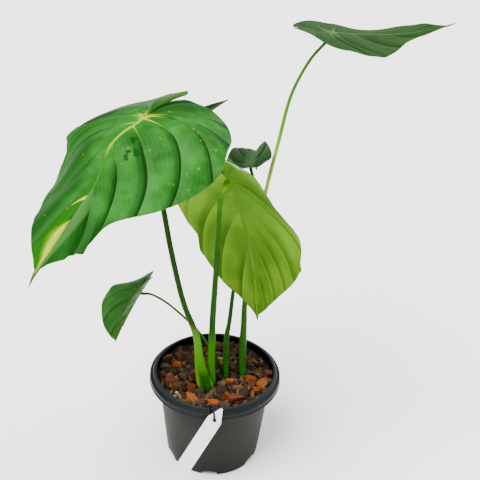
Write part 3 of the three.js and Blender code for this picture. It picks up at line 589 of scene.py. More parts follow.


# Finish of each leaf: colours of the upper side, the last of them a painted sheen, and of the underside
LEAF_LOOKS = {
    "leaf_1": {"upper": ["174c10", "30762a", "031f02", "36602e"],
               "under": ["37561f", "456428", "24420f"],
               "vein": "448408", "hub": "86a202", "glow": 34, "gloss": 0.45},
    # leaf_2's underside colours are painted a bright yellow-green, standing in for light shining through
    # the blade from behind
    "leaf_2": {"upper": ["18460f", "1e5a12", "083403", "2e5c26"],
               "under": ["487012", "64901c", "2c4c04"],
               "vein": "5a8424", "hub": "74a004", "glow": 18, "gloss": 0.45},
    "leaf_3": {"upper": ["1a3215", "263e1e", "0a1e08", "324a2c"],
               "under": ["2c421f", "384e28", "1c3012"],
               "vein": "283e20", "hub": "32481f", "glow": 16, "gloss": 0.45},
    "leaf_4": {"upper": ["1c3814", "253f19", "0e2a0a", "30482a"],
               "under": ["37561f", "456428", "24420f"],
               "vein": "405434", "hub": "44583a", "glow": 40, "gloss": 0.5},
    "leaf_5": {"upper": ["1b4012", "28541a", "0b3206", "325430"],
               "under": ["2e5018", "3a5e1e", "24420e"],
               "vein": "264e16", "hub": "33601a", "glow": 16, "gloss": 0.45},
    "leaf_6": {"upper": ["20341a", "2a4020", "182c12", "34462c"],
               "under": ["2c421f", "384e28", "1c3012"],
               "vein": "34462c", "hub": "3c5030", "glow": 16, "gloss": 0.5},
}


def vein_mask(finish, wide, narrow, glow):
    """Share of vein colour: 1 on a vein, narrowing and fading with the distance from the hub."""
    hub = finish.attribute("hub")
    width = finish.step(hub, 0, glow, wide, narrow)
    line = finish.maths("DIVIDE", finish.attribute("vein"), width)
    line = finish.step(line, 0.35, 1.0, 1, 0)
    strength = finish.step(hub, glow * 0.3, glow * 1.2, 1, 0.12)
    return finish.maths("MULTIPLY", line, strength, clamp=True)


def rib_mask(finish, leaf, wide, narrow):
    """Share of midrib colour: 1 on the midrib ahead of the junction."""
    split = finish.node("ShaderNodeSeparateXYZ", {"Vector": finish.where(output="UV")})
    ahead = finish.maths("MULTIPLY_ADD", split.outputs[0], FLAT_SPAN, -FLAT_SPAN / 2)
    width = finish.step(ahead, 0, leaf["length"], wide, narrow)
    line = finish.maths("DIVIDE", finish.attribute("rib"), width)
    front = finish.step(ahead, -3, 1)
    return finish.times(finish.step(line, 0.45, 1.0, 1, 0), front), ahead


def fine_veins(finish):
    """Fine parallel veins between the side veins, as ripples across the panels."""
    panel = finish.attribute("panel")
    wobble = finish.noise(finish.where(), 0.03, 2)
    turned = finish.maths("MULTIPLY_ADD", panel, 7 * 2 * math.pi, finish.times(wobble, 5.0))
    return finish.maths("MULTIPLY_ADD", finish.maths("SINE", turned), 0.5, 0.5)


def upper_finish(name, leaf, look, settings):
    """Waxy upper side: greens mixed by noise, painted shade on one side of each panel and a
    painted sheen on the other, lit veins that fade from the hub, fine parallel veins and a thin pale
    margin."""
    base, light, dark, sheen = look["upper"]
    f = Finish(name + "_upper", Roughness=look["gloss"], Specular_IOR_Level=0.03)
    spot = f.where()
    cloud = f.noise(spot, 0.022, 4)
    mottle = f.noise(spot, 0.35, 3)
    colour = f.blend(f.step(cloud, 0.38, 0.72), base, light)
    panel = f.maths("FRACT", f.attribute("panel"))
    reach = f.attribute("reach")
    # Painted shade: the first part of each panel is darkened
    painted_panel_shade = f.times(f.step(panel, 0.0, 0.4, 1, 0), f.step(reach, 0.05, 0.4, 0, 0.95))
    colour = f.blend(painted_panel_shade, colour, dark)
    drift = f.noise(spot, 0.07, 4)
    colour = f.blend(f.step(drift, 0.48, 0.75, 0, 0.45), colour, dark)
    # Painted sheen: a pale band on the last part of each panel, beside the next vein
    painted_panel_sheen = f.times(f.step(panel, 0.66, 0.97), f.step(reach, 0.15, 0.55, 0, settings.sheen),
                   f.step(mottle, 0.25, 0.75, 0.6, 1))
    colour = f.blend(painted_panel_sheen, colour, sheen)
    fine = fine_veins(f)
    colour = f.blend(f.times(fine, 0.1), colour, light)
    colour = f.blend(f.step(mottle, 0.55, 0.9, 0, 0.25), colour, dark)
    veins = vein_mask(f, 1.7, 0.5, look["glow"])
    veins = f.times(veins, f.step(f.attribute("along"), 0.24, 0.44, 0.06, 1))
    lit = f.blend(f.step(f.attribute("hub"), 6, look["glow"]), look["hub"], look["vein"])
    colour = f.blend(veins, colour, lit)
    star = f.step(f.attribute("hub"), 2.0, look["glow"] * 0.25, 0.95, 0)
    colour = f.blend(star, colour, look["hub"])
    rib, ahead = rib_mask(f, leaf, 2.0, 0.6)
    if name == "leaf_1":
        lit = f.blend(f.step(ahead, 36, 62), "7ca404", "1e5c06")
    colour = f.blend(f.times(rib, 0.92), colour, lit)
    colour = f.blend(f.step(f.attribute("edge"), 0.2, 0.9, 0.3, 0), colour, look["vein"])
    brown = f.step(f.attribute("along"), 1.0, 1.12)
    if name == "leaf_1":
        colour = variegation_and_painted_light(f, colour, ahead, spot)
    if name == "leaf_3":
        colour = f.blend(f.step(f.attribute("rib"), 1, 9, 0.6, 0), colour, "3c5432")
        rolled = f.times(f.step(reach, 0.74, 0.86), f.step(f.attribute("along"), 0.44, 0.36),
                         f.step(f.attribute("panel"), 19, 19.5, 0.7, 0))
        colour = f.blend(rolled, colour, "5c7052")
    if name == "leaf_4":
        dry = f.times(f.step(f.attribute("edge"), 0.3, 1.2, 0.8, 0),
                      f.step(f.attribute("along"), 0.72, 0.9))
        colour = f.blend(dry, colour, "6a5c38")
    colour = f.blend(brown, colour, f.blend(f.step(f.attribute("along"), 1.2, 1.9), "4a4a17",
                                            "2d1a06"))
    f.colour(colour)
    f.rough(f.step(mottle, 0.2, 0.8, look["gloss"] - 0.05, look["gloss"] + 0.1))
    grain = f.noise(spot, 1.6, 2)
    height = f.maths("ADD", f.times(fine, 0.6), f.times(grain, 0.35))
    f.bump(height, settings.relief / MM, 0.6)
    return f.material


# On leaf 1, in flat millimetres [along, out]: pale specks with their radius, dark bruises
SPECKS = [[42, -16, 1.5], [-11, -14, 1.3], [-16, -16, 1.6], [-5, -49, 1.5], [-3, -55, 1.3],
          [-4, -52, 0.9], [6, -63, 1.2], [35, -32, 1.3], [22, -33, 1.2], [7, -80, 1.5],
          [30, -75, 1.3], [55, -59, 1.3], [53, -62, 1.0], [39, -68, 1.1], [51, -75, 1.1],
          [16, 22, 1.2], [56, 30, 1.2], [71, -13, 1.1], [79, -35, 1.1], [109, 10, 1.2],
          [121, 27, 1.1], [142, 4, 1.4], [57, -15, 0.9]]
BRUISES = [[31, -13, 3.2], [34, -15, 2.2], [43, -24, 3.4], [40, -22, 2.2], [45, -17, 2.6],
           [49, -17, 2.0], [52, -18, 2.4]]


def spots(finish, place_mm, marks, softness):
    """Largest share of any of the round marks, each given by its place and its radius."""
    total = 0.0
    for *centre, radius in marks:
        apart = finish.vector("DISTANCE", place_mm, (*centre, 0, 0)[:3], output="Value")
        share = finish.step(apart, radius * softness, radius, 1, 0)
        total = finish.maths("MAXIMUM", share, total)
    return total


def variegation_and_painted_light(f, colour, ahead, spot):
    """On the large leaf: painted shade on the panels of the right half, painted light on its
    corner, a painted sheen on its back flap and a painted shadow under that flap, a darker lobe on the
    left half and a darker part by the tip, the lime sector by the tip with a painted sheen beside the
    midrib, the cream streaks, bruises and specks."""
    uv = f.node("ShaderNodeTexCoord").outputs["UV"]
    span = (FLAT_SPAN, FLAT_SPAN, 0)
    start = (-FLAT_SPAN / 2, -FLAT_SPAN / 2, 0)
    flat = f.vector("MULTIPLY_ADD", uv, span, start)
    shift = f.noise(spot, 0.45, 2, output="Color")
    shaken = f.vector("MULTIPLY_ADD", shift, (5, 5, 0), flat)
    shaken = f.vector("ADD", shaken, (-2.5, -2.5, 0))
    across = f.node("ShaderNodeSeparateXYZ", {"Vector": flat}).outputs[1]
    right = f.step(across, -0.3, 0.3)
    left = f.maths("SUBTRACT", 1.0, right)
    along = f.attribute("along")
    panel = f.maths("FRACT", f.attribute("panel"))
    # Painted shade over the panels of the right half
    deep = f.times(right, f.step(panel, 0.6, 0.9, 0.78, 0.4))
    colour = f.blend(f.times(deep, f.step(f.attribute("reach"), 0.1, 0.4)), colour, "083402")
    # Painted light: the strongly lit corner of the right half, given a deep saturated green
    corner = f.times(right, f.step(along, 0.36, 0.44),
                     f.step(along, 0.54, 0.62, 1, 0))
    corner = f.times(corner, f.step(f.attribute("reach"), 0.5, 0.7))
    colour = f.blend(corner, colour, f.blend(f.step(along, 0.45, 0.5), "042400", "0e4800"))
    # Painted sheen on the back flap of the right half, which turns away at a grazing angle
    flap = f.times(right, f.step(along, 0.2, 0.36, 0.9, 0),
                   f.step(f.attribute("reach"), 0.2, 0.5))
    colour = f.blend(flap, colour, "36581a")
    # Painted shadow under the flap, beside the junction on the left half
    painted_flap_shadow = f.times(left, f.step(along, 0.06, 0.14, 0.9, 0),
                     f.step(f.attribute("hub"), 14, 34, 1, 0))
    colour = f.blend(painted_flap_shadow, colour, "042402")
    outer = f.times(left, f.step(along, 0.4, 0.18, 0, 0.6))
    colour = f.blend(outer, colour, "042802")
    lime = f.times(f.step(along, 0.842, 0.852), right,
                   f.step(across, 4, 26, 1, 0.5))
    colour = f.blend(lime, colour, "145004")
    colour = f.blend(f.times(left, f.step(ahead, 90, 125, 0, 0.7)), colour, "0a3606")
    # Painted sheen beside the midrib on the left half near the tip
    slim = f.step(ahead, 100, 168, 11, 2)
    pale = f.maths("DIVIDE", f.maths("ABSOLUTE", across), slim)
    pale = f.times(f.step(pale, 0.7, 1.0, 0.65, 0), f.step(along, 0.85, 0.862))
    colour = f.blend(f.times(pale, left), colour, "3a642c")
    streaks = f.noise(f.vector("MULTIPLY", flat, (0.03, 0.5, 1)), 1.0, 2)
    width = f.times(f.step(ahead, 115, 136), f.step(ahead, 138, 168, 7.5, 0.6),
                    f.step(streaks, 0.3, 0.7, 0.75, 1.15))
    ratio = f.maths("DIVIDE", across, f.maths("MAXIMUM", width, 0.05))
    band = f.times(f.step(ratio, 0.55, 1.0, 1, 0), right)
    fringe = f.times(f.step(ratio, 0.9, 1.7, 1, 0), right)
    colour = f.blend(f.times(fringe, 0.8), colour, "587700")
    colour = f.blend(band, colour, f.blend(f.step(streaks, 0.4, 0.65), "9cb426", "7c9a0a"))
    wedge_side = f.maths("SUBTRACT", across, f.maths("MULTIPLY_ADD", ahead, 0.75, -71.5))
    wedge_side = f.maths("DIVIDE", f.maths("ABSOLUTE", wedge_side),
                         f.step(ahead, 93, 106, 2.6, 0.7))
    wedge = f.times(f.step(wedge_side, 0.5, 1.0, 1, 0), f.step(ahead, 92, 95),
                    f.step(ahead, 103, 107, 1, 0))
    colour = f.blend(f.times(wedge, right), colour, "98a428")
    colour = f.blend(f.times(spots(f, shaken, BRUISES, 0.75), 0.95), colour, "063602")
    return f.blend(f.times(spots(f, shaken, SPECKS, 0.1), 0.5), colour, "84903c")


def under_finish(name, leaf, look, settings):
    """Matt underside: paler green, round pale ribs, painted soft shade on one side of each panel and a
    painted highlight on the other; on leaf 2 painted light and shade on parts of its halves, darker
    towards the tip, and a painted highlight on its turned lobe edge.
    """
    base, light, dark = look["under"]
    f = Finish(name + "_under", Roughness=0.5, Specular_IOR_Level=0.04)
    spot = f.where()
    cloud = f.noise(spot, 0.02, 3)
    mottle = f.noise(spot, 0.3, 3)
    colour = f.blend(f.step(cloud, 0.35, 0.65), base, light)
    panel = f.maths("FRACT", f.attribute("panel"))
    reach = f.attribute("reach")
    # Painted shade on the last part of each panel
    shade = f.times(f.step(panel, 0.6, 0.98), f.step(reach, 0.1, 0.5, 0, 0.75),
                    f.step(f.attribute("along"), 0.25, 0.5, 0.35, 1))
    colour = f.blend(shade, colour, dark)
    # Painted highlight on the first part of each panel, beside the vein
    shine = f.times(f.step(panel, 0.04, 0.3, 1, 0), f.step(reach, 0.1, 0.5, 0, 0.6))
    colour = f.blend(shine, colour, light)
    fine = fine_veins(f)
    colour = f.blend(f.times(fine, 0.12), colour, dark)
    colour = f.blend(f.step(mottle, 0.5, 0.9, 0, 0.25), colour, dark)
    veins = vein_mask(f, 1.7, 0.6, look["glow"])
    lit = f.blend(f.step(f.attribute("hub"), 2, look["glow"]), look["hub"], look["vein"])
    colour = f.blend(f.times(veins, 0.8), colour, lit)
    rib, ahead = rib_mask(f, leaf, 2.2, 0.7)
    if name == "leaf_2":
        colour = f.blend(f.step(ahead, 130, 180, 0, 0.35), colour, dark)
        along = f.attribute("along")
        # Painted light on the broad panel by the lobe of the left half
        broad = f.times(f.step(along, 0.62, 0.5), f.step(f.attribute("panel"), 19, 19.5, 0.6, 0))
        colour = f.blend(broad, colour, "7c9c28")
        right = f.step(f.attribute("panel"), 19, 19.5)
        # Painted shade on the inner part of the right half, between stalk and midrib
        inner = f.times(f.step(reach, 0.65, 0.3, 0, 0.6), f.step(along, 0.78, 0.66))
        colour = f.blend(f.times(inner, right), colour, "3c6a08")
        # Painted shade on the lobe of the right half
        lobe = f.times(f.step(along, 0.4, 0.25, 0, 0.6), right)
        colour = f.blend(lobe, colour, "3c6410")
        # Painted highlight on the turned edge of the right half's lobe
        turned = f.times(f.step(reach, 0.68, 0.8), f.step(along, 0.04, 0.1),
                         f.step(along, 0.26, 0.34, 0.95, 0))
        colour = f.blend(f.times(turned, right), colour, "86be80")
        lit = f.blend(f.step(ahead, 70, 115), "447214", "629222")
    colour = f.blend(f.times(rib, 0.8), colour, lit)
    colour = f.blend(f.step(f.attribute("along"), 1.0, 1.15), colour, "33280c")
    f.colour(colour)
    grain = f.noise(spot, 1.3, 2)
    height = f.maths("ADD", f.times(fine, 0.7), f.times(grain, 0.4))
    f.bump(height, settings.relief / MM, 0.7)
    return f.material


# Stalks, from the scar on the rhizome up to the blade. girth lists
# [height above the ground, half width across, half width in depth]; tints
# lists colours at heights, among them painted shade and a painted highlight.
STALKS = {
    "stalk_1": {
        "node": "petiole_1", "leaf": "leaf_1", "sides": 40,
        "route": [[-9.5, -10, 0], [-8, -11, 70], [-6.4, -13.5, 86], [-11.6, -13, 103],
                  [-17, -13, 129],
                  [-21, -13, 155], [-34, -12, 192], [-47, -12, 252], [-54, -12, 294],
                  [-62, -11, 338]],
        "girth": [[60, 3.6, 3], [80, 5, 3.6], [92, 5.6, 4], [106, 5, 3.8], [128, 4.1, 3.4],
                  [150, 3.8, 3.2], [166, 3.1, 2.9], [185, 2.8, 2.7], [250, 2.7, 2.6],
                  [383, 2.2, 2.2]],
        # Painted shade: the dark tints from 172 mm up
        "tints": [[82, "1c5208"], [95, "2a6608"], [112, "3a760a"], [150, "447c14"], [160, "3c6c10"],
                  [172, "183a02"], [250, "103200"], [383, "163c00"]],
    },
    "stalk_2": {
        "node": "petiole_2", "leaf": "leaf_2", "sides": 32,
        "route": [[-2.5, -5, 0], [-2.5, -5, 70], [-3, -5.5, 88], [-5, -6, 118], [-4.6, -6, 144],
                  [-4.8, -6, 164], [-3, -8, 235], [-2.2, -9, 285], [-1.6, -11, 304],
                  [0.4, -12, 315]],
        "girth": [[60, 2.8, 2.8], [80, 3.6, 3.6], [104, 4, 3.7], [125, 4, 3.7], [144, 3.8, 3.6],
                  [162, 3.2, 3.2], [235, 2.7, 2.7], [330, 2, 2]],
        "tints": [[82, "2c7006"], [105, "3a7c08"], [135, "2a6c04"], [165, "0e3a00"],
                  [235, "164400"],
                  [285, "205800"], [305, "2a6400"], [322, "568c04"]],
    },
    "stalk_3": {
        "node": "petiole_3", "leaf": "leaf_3", "sides": 24,
        "route": [[12, 6, 0], [12, 6.5, 70], [12, 10, 86], [11, 19, 103], [11, 26, 128],
                  [13, 29, 143],
                  [17, 37, 193], [26, 45, 254], [32, 50, 296]],
        "girth": [[60, 2.6, 2.6], [82, 2.9, 2.9], [100, 3.3, 3.3], [122, 3.2, 3.2], [143, 2.4, 2.4],
                  [190, 2, 2], [320, 1.4, 1.4]],
        "tints": [[82, "18500a"], [110, "20580c"], [160, "0e400a"], [240, "103608"],
                  [320, "14300c"]],
    },
    "stalk_4": {
        "node": "petiole_4", "leaf": "leaf_4", "sides": 24,
        "route": [[30, 6, 0], [30, 6.5, 70], [30.5, 9, 86], [29.5, 17, 99], [29, 24, 116],
                  [29, 29, 141],
                  [29, 36, 169], [33.5, 43, 226], [44.5, 51, 292], [53.5, 56, 341], [63.5, 61, 390],
                  [79, 64, 423]],
        "girth": [[60, 2.6, 2.6], [82, 2.8, 2.8], [92, 3.7, 3.7], [110, 4.2, 4.2], [122, 4.1, 4.1],
                  [141, 3.3, 3.3], [170, 2.8, 2.8], [295, 2, 2], [450, 1.45, 1.45]],
        # Painted highlight: the pale tints from 270 to 330 mm
        "tints": [[82, "144608"], [110, "1a520a"], [140, "244e0c"], [200, "34540e"],
                  [270, "588c14"],
                  [300, "a0bc58"], [330, "78a81c"], [360, "4c8400"], [400, "346600"],
                  [450, "1c440a"]],
    },
    "stalk_5": {
        "node": "petiole_5", "leaf": "leaf_5", "sides": 20, "lead": 0.5,
        "route": [[7, 7, 0], [7, 7.5, 70], [7.5, 14, 87], [-1, 17, 108], [-10, 16, 124],
                  [-21, 14, 143], [-30, 13, 154], [-55, 11, 179], [-70, 10, 188]],
        "girth": [[60, 1.5, 1.5], [100, 1.5, 1.5], [150, 1.25, 1.25], [200, 1.1, 1.1]],
        "tints": [[82, "0a2e06"], [120, "205404"], [150, "285c02"], [200, "1c4602"]],
    },
    "stalk_6": {
        "node": "petiole_6", "leaf": "leaf_6", "sides": 20,
        "route": [[-15.5, -8, 0], [-13.8, -9, 70], [-14.4, -10, 82], [-16.6, -10.4, 92],
                  [-18.4, -10, 106], [-19.8, -8, 119], [-21, -2, 133], [-23, 2, 147],
                  [-35, 5, 180], [-48, 10, 240], [-55, 14, 282], [-55, 18, 322], [-47, 20, 346]],
        "girth": [[60, 1.6, 1.6], [95, 2.6, 2.4], [115, 2.3, 2.3], [200, 1.5, 1.5],
                  [360, 1.1, 1.1]],
        "tints": [[82, "78a40c"], [112, "628c08"], [130, "436700"], [180, "224c06"],
                  [360, "26400e"]],
    },
}
RHIZOME_TOP = 63.5


def centripetal(points, steps):
    """Centripetal Catmull-Rom curve: knots half a power of the distance apart, and a
    straight run on past both ends, read at steps places in each stretch."""
    p = np.asarray(points, float)
    p = np.concatenate([2 * p[:1] - p[1:2], p, 2 * p[-1:] - p[-2:-1]])
    gap = np.sqrt(np.maximum(np.linalg.norm(np.diff(p, axis=0), axis=1), 1e-6))
    g0, g1, g2 = gap[:-2, None, None], gap[1:-1, None, None], gap[2:, None, None]
    a, b, c, d = (p[k:len(p) - 3 + k, None] for k in range(4))
    m0 = ((b - a) / g0 - (c - a) / (g0 + g1) + (c - b) / g1) * g1
    m1 = ((c - b) / g1 - (d - b) / (g1 + g2) + (d - c) / g2) * g1
    t = np.linspace(0, 1, steps, endpoint=False)[None, :, None]
    curve = ((2 * b - 2 * c + m0 + m1) * t + (-3 * b + 3 * c - 2 * m0 - m1)) * t * t + m0 * t + b
    return np.concatenate([curve.reshape(-1, 3), p[-2:-1]])


def sweep(line, across, deep, sides, level=(1, 0, 0), closed=False, shape=None):
    """An ellipse carried along a line: each ring is the point plus the level-ish
    direction times cosine and the direction square to it times sine. shape scales
    each ring by angle. Open ends close in a low dome."""
    if closed:
        along = unit(np.roll(line, -1, 0) - np.roll(line, 1, 0))
    else:
        along = unit(np.gradient(line, axis=0))
    down = unit(np.cross(along, level))
    side = np.cross(down, along)
    turn = 2 * np.pi * np.arange(sides) / sides
    wave = np.ones((len(line), sides)) if shape is None else shape(line, turn)
    rings = (line[:, None] + side[:, None] * (across[:, None] * wave * np.cos(turn))[..., None]
             + down[:, None] * (deep[:, None] * wave * np.sin(turn))[..., None])
    points = rings.reshape(-1, 3)
    index = np.arange(len(points)).reshape(len(line), sides)
    quads = grid_quads(index, wrap_rows=closed, wrap_columns=True)
    tris = triangles(quads)
    if not closed:
        ends = np.stack([line[0] - along[0] * across[0] * 0.25,
                         line[-1] + along[-1] * across[-1] * 0.15])
        n = len(points)
        points = np.concatenate([points, ends])
        first, last = index[0], index[-1]
        caps = [np.stack([np.full(sides, n), np.roll(first, -1), first], -1),
                np.stack([np.full(sides, n + 1), last, np.roll(last, -1)], -1)]
        tris = np.concatenate([tris, *[cap[:, ::-1] for cap in caps]])
    return points, tris


def stalk_shape(name, stalk):
    """Stalk along the solid's own centre line, a little swollen where it meets the blade.
    The lowest part of the first stalk is a sheath: its section has a groove on one side of the front and a
    ridge on the other."""
    leaf = LEAVES[stalk["leaf"]]
    spine = midrib_of(leaf)
    up = follow(0, spine[0], spine[3])
    end = np.array(leaf["junction"]) - up * (SOLID_BLADE / 2 + leaf["rib"] + JOINT_GAP)
    route = [list(p) for p in stalk["route"]]
    route[0][2] = RHIZOME_TOP + JOINT_GAP
    route += [end - up * stalk.get("lead", 2) * stalk["girth"][-1][1], end]
    line = centripetal(route, 14)
    heights = [g[0] for g in stalk["girth"]]
    across = eased(heights, [g[1] for g in stalk["girth"]], line[:, 2])
    deep = eased(heights, [g[2] for g in stalk["girth"]], line[:, 2])
    left = np.linalg.norm(line - end, axis=1)
    swell = 1 + 0.35 * np.exp(-((left / 6) ** 2))

    def ridged(points, turn):
        """On the sheath, a shallow groove along the front and a folded edge beside it."""
        low = 1 - smooth(points[:, 2], 100, 152)[:, None] if name == "stalk_1" else 0
        groove = np.exp(-(((turn - 1.5 * np.pi + 0.5) / 0.25) ** 2))[None, :]
        fold = np.exp(-(((turn - 1.5 * np.pi - 0.35) / 0.3) ** 2))[None, :]
        ribs = 0.015 * np.cos(9 * turn)[None, :]
        return 1 + ribs - 0.1 * low * groove + 0.1 * low * fold

    return sweep(line, across * swell, deep * swell, stalk["sides"], shape=ridged)


def stalk_finish(name, stalk):
    """Stalk colours by height, among them painted shade and a painted highlight, streaked lengthwise, with
    a soft gloss. The first stalk's sheath has painted shade in its fold between slanting lines, a painted
    highlight on the edge beside it and a brown scar."""
    f = Finish(name + "_skin", Roughness=0.4, Specular_IOR_Level=0.05)
    x, y, z = f.node("ShaderNodeSeparateXYZ", {"Vector": f.where()}).outputs
    colour = srgb(stalk["tints"][0][1])
    for (low, _), (high, tint) in zip(stalk["tints"], stalk["tints"][1:]):
        colour = f.blend(f.step(z, low, high), colour, tint)
    streak = f.noise(f.where((1, 1, 0.04)), 1.1, 3)
    colour = f.blend(f.step(streak, 0.5, 0.75, 0, 0.3), colour, "0c2c03")
    colour = f.blend(f.step(streak, 0.5, 0.2, 0, 0.3), colour, "5e8a10")
    if name == "stalk_1":
        front = f.times(f.step(y, -12.6, -13.6), f.step(z, 116, 101))
        from_left = f.maths("ADD", x, f.maths("MULTIPLY_ADD", z, 0.25, -10.2))
        past_right = f.maths("ADD", f.maths("MULTIPLY_ADD", z, 0.312, -35.3),
                             f.maths("ADD", x, 9.4))
        # Painted shade in the sheath's fold
        fold = f.times(f.step(from_left, -0.6, 0.6), f.step(past_right, 0.2, -0.4))
        colour = f.blend(f.times(fold, front), colour, "1c5206")
        # Painted highlight on the sheath's edge beside the fold
        edge = f.times(f.step(past_right, -0.2, 0.4), f.step(past_right, 1.2, 2.6, 0.9, 0))
        colour = f.blend(f.times(edge, front), colour, "64921c")
        ragged = f.step(f.noise(f.where(), 0.8, 2), 0.38, 0.5)
        scar = f.times(spots(f, f.where(), [(-23.6, -15.6, 166, 3.0)], 0.4), ragged)
        colour = f.blend(scar, colour, "4c2410")
    f.colour(colour)
    f.bump(streak, 0.15, 0.5)
    return f.material


def pot_profile():
    """Half section of the pot as [radius, height, roundness of that corner]: up the
    outer wall, out under the hollow collar, round the lip and down the inner wall."""
    height, rim, base, neck, lip, drop, wall = 104, 70, 50.5, 59.6, 66, 11, 1.6
    skirt, band = height - drop, height - drop - 2
    outer = [[0, 0, 0], [base - 5, 0, 0], [base - 4.4, 0.5, 0.4], [base - 1, 0.3, 0.5],
             [base, 1.2, 0.8],
             [base + 0.55, 7, 0.4], [base + 0.95, 7.4, 0.3], [neck, band, 0.5],
             [neck + 0.3, band + 0.8, 0.4],
             [lip - 2.3, band + 2.6, 0.8], [lip - 2.3, height - 5, 0.6], [rim - 2, height - 5, 0.6],
             [rim - 1.6, skirt, 0.3], [rim, skirt, 0.5], [rim, skirt + 1.3, 0.5],
             [rim - 0.55, skirt + 1.7, 0.3],
             [rim - 0.6, height - 6.4, 0.3], [rim - 0.3, height - 6.1, 0.2],
             [rim - 0.35, height - 4.3, 0.3],
             [rim - 1.3, height - 3.5, 0.5], [lip + 0.5, height - 3.2, 0.7],
             [lip, height - 1.0, 0.7],
             [lip - 0.9, height, 0.7]]
    inner = [[lip - 3.1, height, 0.8], [lip - 4, height - 1.2, 0.8], [lip - 4, band + 4.1, 1.0],
             [neck - wall + 0.2, band + 2.2, 0.8], [neck - wall, band, 0.6],
             [base - wall + 0.2, 3.4, 1.0], [base - wall - 1.2, 2, 0.5], [0, 2, 0]]
    return outer + inner


def rounded(corners):
    """A profile with each corner replaced by a short curve: three points on a quadratic
    between the places where the rounding starts and ends."""
    c = np.array(corners)
    p, r = c[:, :2], c[:, 2]
    back = unit(p[:-2] - p[1:-1])
    on = unit(p[2:] - p[1:-1])
    runs = np.linalg.norm(np.diff(p, axis=0), axis=1)
    room = np.minimum(runs[:-1], runs[1:])
    size = np.minimum(r[1:-1], room * 0.45)[:, None]
    start, stop = p[1:-1] + back * size, p[1:-1] + on * size
    t = np.linspace(0, 1, 4)[None, :, None]
    arcs = start[:, None] * (1 - t) ** 2 + 2 * p[1:-1, None] * t * (1 - t) + stop[:, None] * t * t
    line = np.concatenate([p[:1], arcs.reshape(-1, 2), p[-1:]])
    keep = np.concatenate([[True], np.linalg.norm(np.diff(line, axis=0), axis=1) > 1e-4])
    return line[keep]


def lathe(profile, sides):
    """A profile turned round the upright axis; points on the axis are shared."""
    r, z = profile[:, 0], profile[:, 1]
    turn = 2 * np.pi * np.arange(sides) / sides
    points = np.stack([r[:, None] * np.cos(turn), r[:, None] * np.sin(turn),
                       z[:, None] + 0 * turn], -1)
    index = np.arange(points.shape[0] * sides).reshape(-1, sides)
    index[r < 1e-6] = index[r < 1e-6][:, :1]
    tris = triangles(grid_quads(index, wrap_columns=True))
    used, back = np.unique(tris, return_inverse=True)
    return points.reshape(-1, 3)[used], back.reshape(-1, 3)


def cutter(name, outline, near, far, turn):
    """A solid to cut with: an outline in the upright plane carried outwards from near to
    far and turned about the upright axis."""
    outline = np.asarray(outline, float)
    n = len(outline)
    rings = [np.column_stack([outline[:, 0], np.full(n, -d), outline[:, 1]]) for d in (near, far)]
    points = np.concatenate([*rings, [r.mean(0) for r in rings]])
    index = np.arange(2 * n).reshape(2, n)
    tris = triangles(grid_quads(index, wrap_columns=True))
    caps = [np.stack([np.full(n, 2 * n + k), index[k], np.roll(index[k], -1)], -1) for k in (0, 1)]
    tris = np.concatenate([tris, caps[0], caps[1][:, ::-1]])
    spin = np.array(Matrix.Rotation(math.radians(turn), 3, "Z"))
    return make_piece(name, points @ spin.T, tris, [])


def cut(piece, cutters):
    """Takes the cutters out of a piece and deletes them."""
    bpy.context.view_layer.objects.active = piece
    for tool in cutters:
        modifier = piece.modifiers.new("cut", "BOOLEAN")
        modifier.operation = "DIFFERENCE"
        modifier.solver = "EXACT"
        modifier.object = tool
        bpy.ops.object.modifier_apply(modifier=modifier.name)
        bpy.data.objects.remove(tool)


def plastic_finish(settings):
    """Recycled black polypropylene: fine grain, faint vertical flow lines, pale dust low
    down, painted shade towards the bottom and on the inside, and a painted highlight along the lip."""
    f = Finish("pot_plastic", Roughness=0.5, Specular_IOR_Level=0.08)
    spot = f.where()
    cloud = f.noise(spot, 0.02, 4)
    grain = f.noise(spot, 1.2, 3)
    rings = f.noise(f.where((0.01, 0.01, 1)), 0.35, 3)
    z = f.node("ShaderNodeSeparateXYZ", {"Vector": spot}).outputs[2]
    base = f.blend(f.step(z, 89, 93), tuple(settings.body_colour), tuple(settings.collar_colour))
    bare = f.step(z, 89, 93, 1, 0.25)
    haze = f.times(f.step(cloud, 0.4, 0.75, 0, 0.4), bare)
    colour = f.blend(haze, base, "2a2823")
    dust = f.times(f.step(grain, 0.5, 0.75, 0, 0.3), bare)
    colour = f.blend(dust, colour, "33302a")
    # Painted shade: darker towards the bottom
    colour = f.blend(f.step(z, 0, 60, 0.6, 0), colour, "0c0c0b")
    # Painted shade: the inner wall and the shoulder under the collar are near black
    flat = f.vector("MULTIPLY", spot, (1, 1, 0))
    radius = f.vector("LENGTH", flat, output="Value")
    normal = f.node("ShaderNodeNewGeometry").outputs["Normal"]
    outward = f.vector("DOT_PRODUCT", flat, normal, output="Value")
    shoulder = f.times(f.step(radius, 62.9, 62.4), f.step(z, 92, 92.6))
    within = f.maths("MAXIMUM", f.step(outward, -20, -40), shoulder)
    colour = f.blend(within, colour, "020303")
    # Painted highlight along the top of the lip
    colour = f.blend(f.step(z, 103.4, 103.9, 0, 0.5), colour, "2a2e30")
    f.colour(colour)
    f.rough(f.maths("SUBTRACT", f.step(cloud, 0.3, 0.7, 0.48, 0.62), f.step(z, 90, 93, 0, 0.18)))
    f.bump(f.maths("ADD", grain, f.times(rings, 0.6)), 0.12, 0.5)
    return f.material


# Bark, from darkest to palest, with how often each is drawn
BARK = [["140d08", 6], ["1f140a", 6], ["2d1c0e", 6], ["3a2410", 5], ["4c2a10", 5], ["643c0e", 4],
        ["7c4c0a", 3], ["362c22", 4], ["4a3e2c", 3], ["5c4d36", 3], ["26201a", 4], ["7a6440", 2]]
BED_HEIGHT = 87.0
CHIP_FLOOR = 88.5

